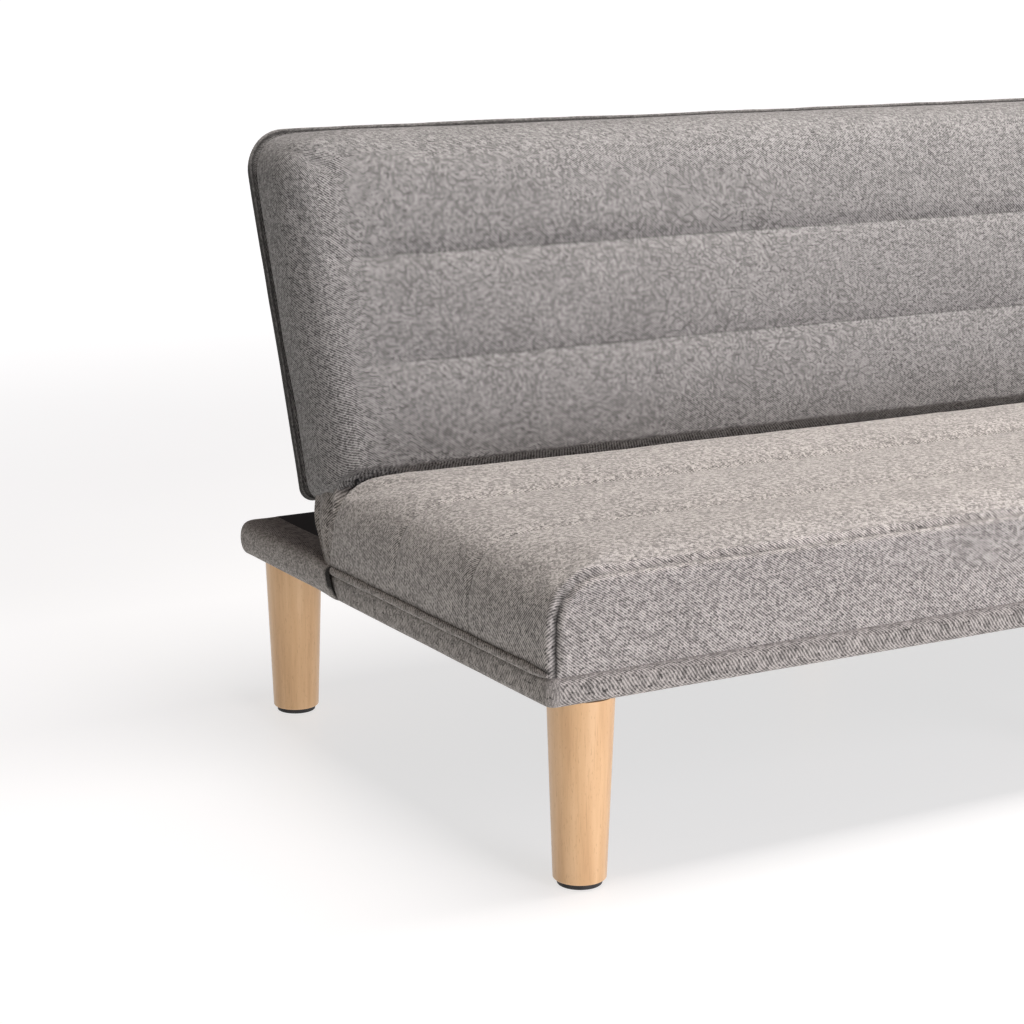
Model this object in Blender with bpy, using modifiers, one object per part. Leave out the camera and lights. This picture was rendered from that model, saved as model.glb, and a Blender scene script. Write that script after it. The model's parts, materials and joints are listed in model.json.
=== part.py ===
"""Futon sofa bed: a padded seat on a low timber base with six turned legs, and a padded backrest that
reclines on two click-clack hinges until it lies flat over the rear of the base.

Metres, +Z up. X runs along the sofa, the front faces -Y, and the origin is on the floor under the middle.
Left is the -X end. Backrest pieces are modelled standing upright in the frame of the hinge empty, with
their Z along the backrest and their Y towards its rear, and the empty leans them all together.
"""

import math

import bmesh
import bpy
from mathutils import Matrix, Vector

# Overall size
WIDTH = 1.800
DEPTH = 0.800
HALF = WIDTH / 2
FRONT = -DEPTH / 2
REAR = DEPTH / 2
GAP = 0.0003  # between pieces that touch
EASE = 0.001  # between a skin and the foam, cloth or timber that it covers loosely
PAST = 0.010  # how far a cutter runs past what it cuts

# Legs
LEG_TOP_RADIUS = 0.037
LEG_BOTTOM_RADIUS = 0.0294
LEG_EDGE = 0.002
LEG_X = HALF - 0.061
LEG_FRONT_Y = FRONT + 0.038
LEG_REAR_Y = REAR - 0.040
GLIDE_RADIUS = 0.0248
GLIDE_HEIGHT = 0.006
GLIDE_EDGE = 0.0015
UNDERSIDE = 0.2137  # the lowest point of the covered base
LEG_TOP = UNDERSIDE - GAP
BOLT_RADIUS = 0.004
BOLT_HEAD_RADIUS = 0.0105
BOLT_HEAD_HEIGHT = 0.0045
BOLT_HEAD_DEPTH = 0.0005  # of the head below the rail's top
BOLT_LENGTH_IN_LEG = 0.045

# Timber base
FABRIC = 0.002
SKIN = FABRIC + 0.0005  # from the outside of the fabric to the timber
DUST_CLOTH = 0.001
RAIL_BOTTOM = 0.2155
RAIL_TOP = 0.252
SIDE_RAIL_WIDTH = 0.040
END_RAIL_WIDTH = 0.060  # the front and rear rails, which hold the legs
CROSS_RAIL_WIDTH = 0.045
CROSS_RAIL_X = 0.430
REAR_CORNER = 0.025
BORDER_TOP = 0.2455  # the seam between the seat's border and its cover
DECK_THICKNESS = 0.005
DECK_TOP = RAIL_TOP + GAP + DECK_THICKNESS
REAR_WRAP_TOP = 0.2545
REAR_WRAP_LAP = 0.054
REAR_CLOTH = 0.0012
REAR_CLOTH_START = 0.005  # behind the seat's rear

# Seat pad
SEAT_TOP = 0.366
SEAT_REAR = FRONT + 0.525
SEAT_SIDE_ROUND = 0.060
SEAT_FRONT_ROUND = 0.012
FOAM_INSET = SKIN + EASE

# Hinge and backrest
HINGE_Y = FRONT + 0.527
HINGE_Z = 0.341
LEAN = math.radians(17.8)
CREASE_ANGLE = math.radians(40)  # each pad keeps to its own side of this plane through the hinge
BACK_BOTTOM = 0.0025
BACK_SHOULDER = 0.432  # the height of the top's front edge, before it is rounded
BACK_TOP = 0.4766  # and of its rear edge
BACK_FACE = -0.032
BACK_REAR = 0.083
BACK_CORNER = 0.050
BACK_FRONT_ROUND = 0.036
BACK_REAR_ROUND = 0.016
BACK_SEAM = 0.068  # between the backrest's cover and its border
BACK_LAP = 0.028  # of the border over the rear
BACK_CLOTH_LAP = 0.004  # of the rear cloth over the border
BACK_TIMBER_REAR = 0.0795
BACK_TIMBER_FRONT = BACK_TIMBER_REAR - 0.018
BACK_PANEL_FRONT = BACK_TIMBER_FRONT - GAP - 0.003
BACK_RAIL_WIDTH = 0.040
BACK_TIMBER_BOTTOM = 0.010
BACK_TIMBER_TOP = 0.440
BACK_TIMBER_OUTER = HALF - 0.012
BACK_TIMBER_CORNER = 0.020

# Click-clack mechanism, plate by plate from the inside out
PLATE = 0.004
SEAT_ARM_X = HALF - 0.047
RATCHET_X = SEAT_ARM_X + PLATE + GAP
BACK_ARM_X = RATCHET_X + PLATE + GAP
STILE_X = BACK_ARM_X + PLATE + GAP
SLOT_INNER_X = SEAT_ARM_X - 0.0045
SLOT_OUTER_X = STILE_X + 0.0036
HOUSING_RADIUS = 0.018
SLOT_RADIUS = HOUSING_RADIUS + 0.003
SEAT_SLOT_FRONT = -0.02
SEAT_SLOT_TOP = HINGE_Z + 0.8 * HOUSING_RADIUS
BACK_SLOT_FOOT = (-0.014, -0.030)  # (y, z) in the hinge's frame, as the next two
BACK_SLOT_HEAD = (BACK_TIMBER_FRONT - GAP / 2, 0.195)
BACK_COVER_SLOT_HEAD = (0.060, 0.012)
RATCHET_RADIUS = 0.015
RIVET_RADIUS = 0.005
RIVET_HEAD_RADIUS = 0.008
RIVET_HEAD = 0.0025
PAWL_REACH = 0.018  # from the hinge to the middle of the pawl's tip, clear of the teeth
PAWL_LENGTH = 0.022
PAWL_TIP_RADIUS = 0.002
PAWL_EYE_RADIUS = 0.006
STUD_RADIUS = 0.002
STUD_ANGLE = math.radians(20)  # from the backrest's length to the pawl's stud, seen from the hinge
PAWL_TRAVEL = math.radians(9.2)
PAWL_PLAY = 0.0006
LOCK_ANGLES = (-8, 0, 36, 72)  # degrees of recline
SPRING_WIRE = 0.0003
SPRING_RADIUS = 0.0037
SPRING_TURNS = 2.25
SPRING_STEPS = 12  # a turn
SEAT_ARM_HEEL_Y = -0.027  # from the hinge
SEAT_ARM_FOOT_LENGTH = 0.080
SEAT_ARM_FOOT_RADIUS = 0.013
BACK_ARM_FOOT_Z = 0.045
BACK_ARM_HEAD_Z = 0.170
BACK_ARM_RADIUS = 0.009

# Gussets at the crease, about the hinge
GUSSET_INSET = 0.010  # from the seat's end
GUSSET_ROUND = 0.003
GUSSET_FRONT_Y = 0.004
GUSSET_REAR_Y = 0.051
GUSSET_REAR_Z = -0.023
GUSSET_TOP_Z = -0.011
GUSSET_BOTTOM_Z = -0.079

# Finishes: colour, roughness, metallic
GREY_FABRIC = ((0.33, 0.31, 0.31), 0.95, 0.0)
BLACK_CLOTH = ((0.02, 0.02, 0.022), 0.95, 0.0)
BEECH = ((0.72, 0.45, 0.23), 0.35, 0.0)
PINE = ((0.66, 0.50, 0.31), 0.70, 0.0)
HARDBOARD = ((0.32, 0.20, 0.12), 0.75, 0.0)
FOAM = ((0.80, 0.74, 0.55), 0.95, 0.0)
STEEL = ((0.42, 0.42, 0.43), 0.40, 0.9)
BLACK_PLASTIC = ((0.03, 0.03, 0.03), 0.50, 0.0)

SIDES = (("left", -1), ("right", 1))


def start_scene():
    """Clears the scene and makes one collection for the parts and one for the cutters."""
    for thing in list(bpy.data.objects):
        bpy.data.objects.remove(thing)
    parts = bpy.data.collections.new("futon_sofa_bed")
    cutters = bpy.data.collections.new("cutters")
    for collection in (parts, cutters):
        bpy.context.scene.collection.children.link(collection)
    return parts, cutters


def as_part(thing, parts, finish):
    """Files a finished piece under the parts, with a material of its own."""
    colour, roughness, metallic = finish
    parts.objects.link(thing)
    material = bpy.data.materials.new(f"{thing.name}_finish")
    material.use_nodes = True
    shader = material.node_tree.nodes["Principled BSDF"]
    shader.inputs["Base Color"].default_value = (*colour, 1.0)
    shader.inputs["Roughness"].default_value = roughness
    shader.inputs["Metallic"].default_value = metallic
    material.diffuse_color = (*colour, 1.0)
    thing.data.materials.append(material)
    return thing


def as_cutter(thing, cutters):
    cutters.objects.link(thing)
    thing.hide_render = True
    thing.display_type = "WIRE"
    return thing


def combine(target, operation, *others):
    for other in others:
        modifier = target.modifiers.new(other.name, "BOOLEAN")
        modifier.operation = operation
        modifier.object = other
        modifier.solver = "EXACT"


def cut(target, *cutters):
    combine(target, "DIFFERENCE", *cutters)


def span(low, high):
    """The middle and the size of a box between two opposite corners."""
    low, high = Vector(low), Vector(high)
    return (low + high) / 2, high - low


def at_end(low, high, side):
    """The corners of a box at the right end, or of its mirror image at the left end."""
    if side > 0:
        return low, high
    return (-high[0], low[1], low[2]), (-low[0], high[1], high[2])


def box_shape(size):
    shape = bmesh.new()
    bmesh.ops.create_cube(shape, size=1.0)
    bmesh.ops.scale(shape, vec=size, verts=shape.verts)
    return shape


def round_edges(shape, chosen, radius, segments=6):
    """Rounds the edges that are chosen by the place of their middle."""
    edges = [edge for edge in shape.edges if chosen((edge.verts[0].co + edge.verts[1].co) / 2)]
    bmesh.ops.bevel(
        shape, geom=edges, offset=radius, offset_type="OFFSET", segments=segments, profile=0.5, affect="EDGES"
    )


def slice_off(shape, point, normal):
    """Removes what lies beyond a plane from a convex shape and closes the cut."""
    everything = shape.verts[:] + shape.edges[:] + shape.faces[:]
    sliced = bmesh.ops.bisect_plane(
        shape, geom=everything, plane_co=point, plane_no=normal, clear_outer=True
    )
    rim = [part for part in sliced["geom_cut"] if isinstance(part, bmesh.types.BMEdge)]
    bmesh.ops.contextual_create(shape, geom=rim)
    bmesh.ops.recalc_face_normals(shape, faces=shape.faces)


def add_object(name, shape, place, parent=None):
    """Turns a bmesh into an object at a place, or at a place on its parent."""
    mesh = bpy.data.meshes.new(name)
    shape.to_mesh(mesh)
    shape.free()
    thing = bpy.data.objects.new(name, mesh)
    thing.location = place
    thing.parent = parent
    return thing


def add_box(name, low, high, parent=None):
    middle, size = span(low, high)
    return add_object(name, box_shape(size), middle, parent)


def add_rod(name, radius, low_x, high_x, place, parent=None, segments=24):
    """A rod along X through a place given as (y, z)."""
    shape = bmesh.new()
    bmesh.ops.create_cone(
        shape, cap_ends=True, segments=segments, radius1=radius, radius2=radius, depth=high_x - low_x,
        matrix=Matrix.Rotation(math.pi / 2, 4, "Y"),
    )
    return add_object(name, shape, ((low_x + high_x) / 2, *place), parent)


def add_post(name, radius, x, y, low_z, high_z):
    """A rod along Z."""
    shape = bmesh.new()
    bmesh.ops.create_cone(
        shape, cap_ends=True, segments=16, radius1=radius, radius2=radius, depth=high_z - low_z
    )
    return add_object(name, shape, (x, y, (low_z + high_z) / 2))


def add_plate(name, discs, low_x, high_x, place, parent=None):
    """A flat plate across X whose outline is drawn tight round discs of (y, z, radius) about a place."""
    shape = bmesh.new()
    thickness = high_x - low_x
    for y, z, radius in discs:
        for x in (-thickness / 2, thickness / 2):
            bmesh.ops.create_circle(
                shape, cap_ends=False, segments=24, radius=radius,
                matrix=Matrix.Translation((x, y, z)) @ Matrix.Rotation(math.pi / 2, 4, "Y"),
            )
    hull = bmesh.ops.convex_hull(shape, input=shape.verts[:])
    inside = [part for part in hull["geom_interior"] if isinstance(part, bmesh.types.BMVert)]
    bmesh.ops.delete(shape, geom=inside, context="VERTS")
    loose = [edge for edge in shape.edges if not edge.link_faces]
    bmesh.ops.delete(shape, geom=loose, context="EDGES")
    bmesh.ops.dissolve_limit(shape, angle_limit=0.01, verts=shape.verts[:], edges=shape.edges[:])
    bmesh.ops.recalc_face_normals(shape, faces=shape.faces)
    return add_object(name, shape, ((low_x + high_x) / 2, *place), parent)


def add_turned(name, profile, place, steps):
    """A piece turned about its own Z, from a profile of (radius, height) that runs down its outer side."""
    shape = bmesh.new()
    points = [shape.verts.new((radius, 0.0, height)) for radius, height in profile]
    for upper, lower in zip(points, points[1:]):
        shape.edges.new((upper, lower))
    thing = add_object(name, shape, place)
    screw = thing.modifiers.new("turn", "SCREW")
    screw.steps = steps
    screw.render_steps = steps
    screw.use_merge_vertices = True
    screw.merge_threshold = 0.00005
    screw.use_smooth_shade = True
    return thing


def smooth(thing):
    """Shades a round piece smooth and keeps its sharp rims."""
    thing.data.shade_smooth()
    thing.data.set_sharp_from_angle(angle=math.radians(35))


def leg_places():
    """The name and the floor position of each leg."""
    for row, y in (("front", LEG_FRONT_Y), ("rear", LEG_REAR_Y)):
        for column, x in (("left", -LEG_X), ("centre", 0.0), ("right", LEG_X)):
            yield row, column, x, y


def make_legs(parts):
    """Six turned legs, each with a glide under it and a bolt down into it from the rail."""
    bore = BOLT_RADIUS + GAP
    bore_bottom = LEG_TOP - BOLT_LENGTH_IN_LEG - PAST / 2
    bottom = GLIDE_HEIGHT + GAP
    leg_profile = [
        (0, bore_bottom),
        (bore, bore_bottom),
        (bore, LEG_TOP),
        (LEG_TOP_RADIUS, LEG_TOP),
        (LEG_BOTTOM_RADIUS, bottom + LEG_EDGE),
        (LEG_BOTTOM_RADIUS - LEG_EDGE, bottom),
        (0, bottom),
    ]
    glide_profile = [
        (0, GLIDE_HEIGHT),
        (GLIDE_RADIUS, GLIDE_HEIGHT),
        (GLIDE_RADIUS, GLIDE_EDGE),
        (GLIDE_RADIUS - GLIDE_EDGE, 0),
        (0, 0),
    ]
    head_top = RAIL_TOP - BOLT_HEAD_DEPTH
    bolt_profile = [
        (0, head_top),
        (BOLT_HEAD_RADIUS, head_top),
        (BOLT_HEAD_RADIUS, head_top - BOLT_HEAD_HEIGHT),
        (BOLT_RADIUS, head_top - BOLT_HEAD_HEIGHT),
        (BOLT_RADIUS, LEG_TOP - BOLT_LENGTH_IN_LEG),
        (0, LEG_TOP - BOLT_LENGTH_IN_LEG),
    ]
    kinds = (
        ("leg", leg_profile, 32, BEECH),
        ("leg_glide", glide_profile, 24, BLACK_PLASTIC),
        ("leg_bolt", bolt_profile, 12, STEEL),
    )
    for row, column, x, y in leg_places():
        for kind, profile, steps, finish in kinds:
            as_part(add_turned(f"{kind}_{row}_{column}", profile, (x, y, 0), steps), parts, finish)


def make_base_frame(parts, cutters):
    """The rails of the base, with the front and rear rails bored for the leg bolts."""
    outer = HALF - SKIN
    front = FRONT + SKIN
    rear = REAR - SKIN
    middle, size = span((-outer, front, RAIL_BOTTOM), (outer, front + END_RAIL_WIDTH, RAIL_TOP))
    shape = box_shape(size)
    round_edges(shape, lambda co: co.y < 0 and abs(co.x) > outer - GAP and abs(co.z) < GAP, SEAT_FRONT_ROUND)
    front_rail = add_object("front_rail", shape, middle)
    middle, size = span((-outer, rear - END_RAIL_WIDTH, RAIL_BOTTOM), (outer, rear, RAIL_TOP))
    shape = box_shape(size)
    round_edges(
        shape, lambda co: co.y > 0 and abs(co.x) > outer - GAP and abs(co.z) < GAP, REAR_CORNER - EASE
    )
    rear_rail = add_object("rear_rail", shape, middle)
    bored_rails = {"front": as_part(front_rail, parts, PINE), "rear": as_part(rear_rail, parts, PINE)}

    inner_front = front + END_RAIL_WIDTH + GAP
    inner_rear = rear - END_RAIL_WIDTH - GAP
    for name, side in SIDES:
        low, high = at_end(
            (outer - SIDE_RAIL_WIDTH, inner_front, RAIL_BOTTOM), (outer, inner_rear, RAIL_TOP), side
        )
        as_part(add_box(f"{name}_side_rail", low, high), parts, PINE)
    for name, x in (("left", -CROSS_RAIL_X), ("centre", 0), ("right", CROSS_RAIL_X)):
        rail = add_box(
            f"{name}_cross_rail",
            (x - CROSS_RAIL_WIDTH / 2, inner_front, RAIL_BOTTOM),
            (x + CROSS_RAIL_WIDTH / 2, inner_rear, RAIL_TOP),
        )
        as_part(rail, parts, PINE)

    head_bottom = RAIL_TOP - BOLT_HEAD_DEPTH - BOLT_HEAD_HEIGHT
    for row, column, x, y in leg_places():
        bore = add_post(f"bore_{row}_{column}", BOLT_RADIUS + GAP, x, y, LEG_TOP - PAST, RAIL_TOP + PAST)
        sink = add_post(
            f"sink_{row}_{column}", BOLT_HEAD_RADIUS + GAP, x, y, head_bottom - GAP, RAIL_TOP + PAST
        )
        cut(bored_rails[row], as_cutter(bore, cutters), as_cutter(sink, cutters))


def make_black_cloths(parts, cutters):
    """The black cloth under the base, with a hole at each leg bolt, and the one over its rear."""
    edge = SKIN + EASE
    middle, size = span(
        (-HALF + edge, FRONT + edge, UNDERSIDE), (HALF - edge, REAR - edge, UNDERSIDE + DUST_CLOTH)
    )
    shape = box_shape(size)
    round_edges(
        shape, lambda co: co.y > 0 and abs(co.x) > HALF - edge - GAP and abs(co.z) < GAP, REAR_CORNER
    )
    dust_cover = add_object("underside_dust_cover", shape, middle)
    for row, column, x, y in leg_places():
        hole = add_post(
            f"hole_{row}_{column}", BOLT_RADIUS + 2 * GAP, x, y, UNDERSIDE - PAST, UNDERSIDE + PAST
        )
        cut(dust_cover, as_cutter(hole, cutters))
    as_part(dust_cover, parts, BLACK_CLOTH)

    reach = HALF - REAR_WRAP_LAP - GAP
    top = RAIL_TOP + GAP + REAR_CLOTH
    rear = REAR - SKIN + GAP + REAR_CLOTH
    deck_cloth = add_box(
        "rear_deck_cloth", (-reach, SEAT_REAR + REAR_CLOTH_START, UNDERSIDE), (reach, rear, top)
    )
    under = add_box(
        "under_rear_deck_cloth",
        (-reach - PAST, SEAT_REAR - PAST, UNDERSIDE - PAST),
        (reach + PAST, rear - REAR_CLOTH, top - REAR_CLOTH),
    )
    cut(deck_cloth, as_cutter(under, cutters))
    as_part(deck_cloth, parts, BLACK_CLOTH)


def make_rear_wraps(parts, cutters):
    """Fabric over each rear side of the base, turned over the top and round the rear corner."""
    inner_x = HALF - REAR_WRAP_LAP
    for name, side in SIDES:
        forms = []
        for form, inset, past in (("rear_wrap", 0, 0), ("inside_rear_wrap", FABRIC, PAST)):
            low, high = at_end(
                (inner_x - 2 * PAST - past, HINGE_Y - past, UNDERSIDE - past),
                (HALF - inset, REAR - inset, REAR_WRAP_TOP - inset),
                side,
            )
            middle, size = span(low, high)
            shape = box_shape(size)
            half = size / 2
            round_edges(
                shape,
                lambda co: co.x * side > half.x - GAP and co.y > half.y - GAP,
                REAR_CORNER - inset,
            )
            forms.append(add_object(f"{form}_{name}", shape, middle))
        wrap, inside = forms
        low, high = at_end(
            (inner_x - 4 * PAST, HINGE_Y - PAST, UNDERSIDE - PAST),
            (inner_x, REAR + PAST, REAR_WRAP_TOP + PAST),
            side,
        )
        beyond = add_box(f"beyond_rear_wrap_{name}", low, high)
        cut(wrap, as_cutter(inside, cutters), as_cutter(beyond, cutters))
        as_part(wrap, parts, GREY_FABRIC)


def hinge_slots(name, low, high, cutters, hinge=None):
    """A slot from low to high, as (y, z), and a round clearance about the hinge, at both ends."""
    slots = []
    for end, side in SIDES:
        corners = at_end((SLOT_INNER_X, *low), (SLOT_OUTER_X, *high), side)
        slots.append(add_box(f"{name}_slot_{end}", *corners, hinge))
        low_x, high_x = sorted((side * SLOT_INNER_X, side * SLOT_OUTER_X))
        place = (0, 0) if hinge else (HINGE_Y, HINGE_Z)
        slots.append(add_rod(f"{name}_clearance_{end}", SLOT_RADIUS, low_x, high_x, place, hinge))
    return [as_cutter(slot, cutters) for slot in slots]


def add_seat_form(name, inset, bottom):
    """The seat's padded form, drawn in all round by an inset."""
    low = (-HALF + inset, FRONT + inset, bottom)
    high = (HALF - inset, SEAT_REAR - inset, SEAT_TOP - inset)
    middle, size = span(low, high)
    shape = box_shape(size)
    half = size / 2
    round_edges(
        shape, lambda co: co.z > half.z - GAP and abs(co.x) > half.x - GAP, SEAT_SIDE_ROUND - inset
    )
    round_edges(shape, lambda co: co.y < GAP - half.y and co.z > GAP - half.z, SEAT_FRONT_ROUND - inset, 3)
    crease = Vector((0, math.cos(CREASE_ANGLE), math.sin(CREASE_ANGLE)))
    hinge = Vector((0, HINGE_Y, HINGE_Z)) - middle
    slice_off(shape, hinge - crease * (inset + 2 * GAP), crease)
    return add_object(name, shape, middle)


def make_seat(parts, cutters):
    """The deck board, foam, cover and border strips of the seat."""
    outer = HALF - SKIN
    slots = hinge_slots(
        "seat", (SEAT_SLOT_FRONT, RAIL_BOTTOM), (SEAT_REAR + PAST, SEAT_SLOT_TOP), cutters
    )
    middle, size = span(
        (-outer, FRONT + SKIN, RAIL_TOP + GAP), (outer, SEAT_REAR - SKIN, DECK_TOP)
    )
    shape = box_shape(size)
    round_edges(shape, lambda co: co.y < 0 and abs(co.x) > outer - GAP and abs(co.z) < GAP, SEAT_FRONT_ROUND)
    deck = add_object("seat_deck", shape, middle)
    cut(deck, *slots)
    as_part(deck, parts, HARDBOARD)
    foam = add_seat_form("seat_foam", FOAM_INSET, DECK_TOP + GAP)
    cut(foam, *slots)
    smooth(foam)
    as_part(foam, parts, FOAM)

    cover = add_seat_form("seat_cover", 0, BORDER_TOP + GAP)
    inside = add_seat_form("inside_seat_cover", FABRIC, BORDER_TOP - PAST)
    cover_slots = hinge_slots(
        "seat_cover", (SEAT_REAR - 2 * PAST, BORDER_TOP - PAST), (SEAT_REAR + PAST, HINGE_Z), cutters
    )
    over_rails = add_box(
        "room_for_rails",
        (-HALF + FABRIC, SEAT_REAR - PAST, BORDER_TOP - PAST),
        (HALF - FABRIC, SEAT_REAR + PAST, RAIL_TOP + GAP),
    )
    cut(cover, as_cutter(inside, cutters), as_cutter(over_rails, cutters), *cover_slots)
    smooth(cover)
    as_part(cover, parts, GREY_FABRIC)

    front_strip = add_box(
        "seat_border_front", (-HALF, FRONT, UNDERSIDE), (HALF, FRONT + FABRIC, BORDER_TOP)
    )
    as_part(front_strip, parts, GREY_FABRIC)
    for name, side in SIDES:
        low, high = at_end(
            (HALF - FABRIC, FRONT + FABRIC + GAP, UNDERSIDE), (HALF, SEAT_REAR, BORDER_TOP), side
        )
        as_part(add_box(f"seat_border_{name}", low, high), parts, GREY_FABRIC)


def add_back_form(name, hinge, inset, rear, rear_round=0.0):
    """The backrest's padded form in the hinge's frame, drawn in all round by an inset."""
    low = (-HALF + inset, BACK_FACE + inset, BACK_BOTTOM + inset)
    high = (HALF - inset, rear, BACK_TOP + PAST)
    middle, size = span(low, high)
    shape = box_shape(size)
    half = size / 2
    up = Vector((0, BACK_SHOULDER - BACK_TOP, BACK_REAR - BACK_FACE)).normalized()
    slice_off(shape, Vector((0, BACK_REAR, BACK_TOP)) - middle - up * inset, up)
    top = BACK_SHOULDER - 2 * BACK_CORNER - middle.z
    round_edges(shape, lambda co: co.z > top and abs(co.x) > half.x - GAP, BACK_CORNER - inset)
    round_edges(
        shape, lambda co: co.y < GAP - half.y and co.z > GAP - half.z, BACK_FRONT_ROUND - inset, 4
    )
    if rear_round:
        round_edges(shape, lambda co: co.y > half.y - GAP and co.z > GAP - half.z, rear_round, 3)
    crease = Vector((0, -math.sin(CREASE_ANGLE), -math.cos(CREASE_ANGLE)))
    slice_off(shape, -middle - crease * (inset + 2 * GAP), crease)
    return add_object(name, shape, middle, hinge)


def make_back_frame(hinge, parts, cutters):
    """The timber frame of the backrest, with its hardboard face and its foam."""
    rails = (
        ("back_bottom_rail", BACK_ARM_X - GAP, BACK_TIMBER_BOTTOM),
        ("back_top_rail", STILE_X - GAP, BACK_TIMBER_TOP - BACK_RAIL_WIDTH),
    )
    for name, reach, bottom in rails:
        rail = add_box(
            name,
            (-reach, BACK_TIMBER_FRONT, bottom),
            (reach, BACK_TIMBER_REAR, bottom + BACK_RAIL_WIDTH),
            hinge,
        )
        as_part(rail, parts, PINE)
    centre = add_box(
        "back_centre_stile",
        (-BACK_RAIL_WIDTH / 2, BACK_TIMBER_FRONT, BACK_TIMBER_BOTTOM + BACK_RAIL_WIDTH + GAP),
        (BACK_RAIL_WIDTH / 2, BACK_TIMBER_REAR, BACK_TIMBER_TOP - BACK_RAIL_WIDTH - GAP),
        hinge,
    )
    as_part(centre, parts, PINE)
    for name, side in SIDES:
        low, high = at_end(
            (STILE_X, BACK_TIMBER_FRONT, BACK_TIMBER_BOTTOM),
            (BACK_TIMBER_OUTER, BACK_TIMBER_REAR, BACK_TIMBER_TOP),
            side,
        )
        middle, size = span(low, high)
        shape = box_shape(size)
        half = size / 2
        round_edges(
            shape, lambda co: co.x * side > half.x - GAP and co.z > half.z - GAP, BACK_TIMBER_CORNER
        )
        as_part(add_object(f"back_{name}_stile", shape, middle, hinge), parts, PINE)

    middle, size = span(
        (-BACK_TIMBER_OUTER, BACK_PANEL_FRONT, BACK_TIMBER_BOTTOM),
        (BACK_TIMBER_OUTER, BACK_TIMBER_FRONT - GAP, BACK_TIMBER_TOP),
    )
    shape = box_shape(size)
    half = size / 2
    round_edges(shape, lambda co: co.z > half.z - GAP and abs(co.x) > half.x - GAP, BACK_TIMBER_CORNER)
    panel = as_part(add_object("back_panel", shape, middle, hinge), parts, HARDBOARD)
    foam = add_back_form("back_foam", hinge, FOAM_INSET, BACK_PANEL_FRONT - GAP)
    smooth(foam)
    as_part(foam, parts, FOAM)
    slots = hinge_slots("back", BACK_SLOT_FOOT, BACK_SLOT_HEAD, cutters, hinge)
    cut(panel, *slots)
    cut(foam, *slots)


def make_back_covers(hinge, parts, cutters):
    """The fabric over the backrest's front and edges, the border round its rear, and its rear cloth."""
    inside = add_back_form(
        "inside_back_cover", hinge, FABRIC, BACK_REAR - FABRIC, BACK_REAR_ROUND - FABRIC
    )
    as_cutter(inside, cutters)
    reach = HALF + PAST
    behind_seam = add_box(
        "behind_back_seam",
        (-reach, BACK_SEAM - GAP / 2, -PAST),
        (reach, BACK_REAR + PAST, BACK_TOP + PAST),
        hinge,
    )
    before_seam = add_box(
        "before_back_seam",
        (-reach, BACK_FACE - PAST, -PAST),
        (reach, BACK_SEAM + GAP / 2, BACK_TOP + PAST),
        hinge,
    )
    opening = add_box(
        "back_rear_opening",
        (-HALF + BACK_LAP, BACK_SEAM, BACK_LAP),
        (HALF - BACK_LAP, BACK_REAR + PAST, BACK_TOP - BACK_LAP),
        hinge,
    )
    slots = hinge_slots("back_cover", BACK_SLOT_FOOT, BACK_COVER_SLOT_HEAD, cutters, hinge)
    cover = add_back_form("back_cover", hinge, 0, BACK_REAR, BACK_REAR_ROUND)
    cut(cover, inside, as_cutter(behind_seam, cutters), *slots)
    border = add_back_form("back_border", hinge, 0, BACK_REAR, BACK_REAR_ROUND)
    cut(border, inside, as_cutter(before_seam, cutters), as_cutter(opening, cutters))
    for cover_piece in (cover, border):
        smooth(cover_piece)
        as_part(cover_piece, parts, GREY_FABRIC)

    edge = BACK_LAP - BACK_CLOTH_LAP
    rear_cloth = add_box(
        "back_dust_cover",
        (-HALF + edge, BACK_REAR + GAP, edge),
        (HALF - edge, BACK_REAR + GAP + DUST_CLOTH, BACK_TOP - edge),
        hinge,
    )
    as_part(rear_cloth, parts, BLACK_CLOTH)


def turned_about_x(y, z, angle):
    """A point turned about X."""
    return y * math.cos(angle) - z * math.sin(angle), y * math.sin(angle) + z * math.cos(angle)


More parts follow.
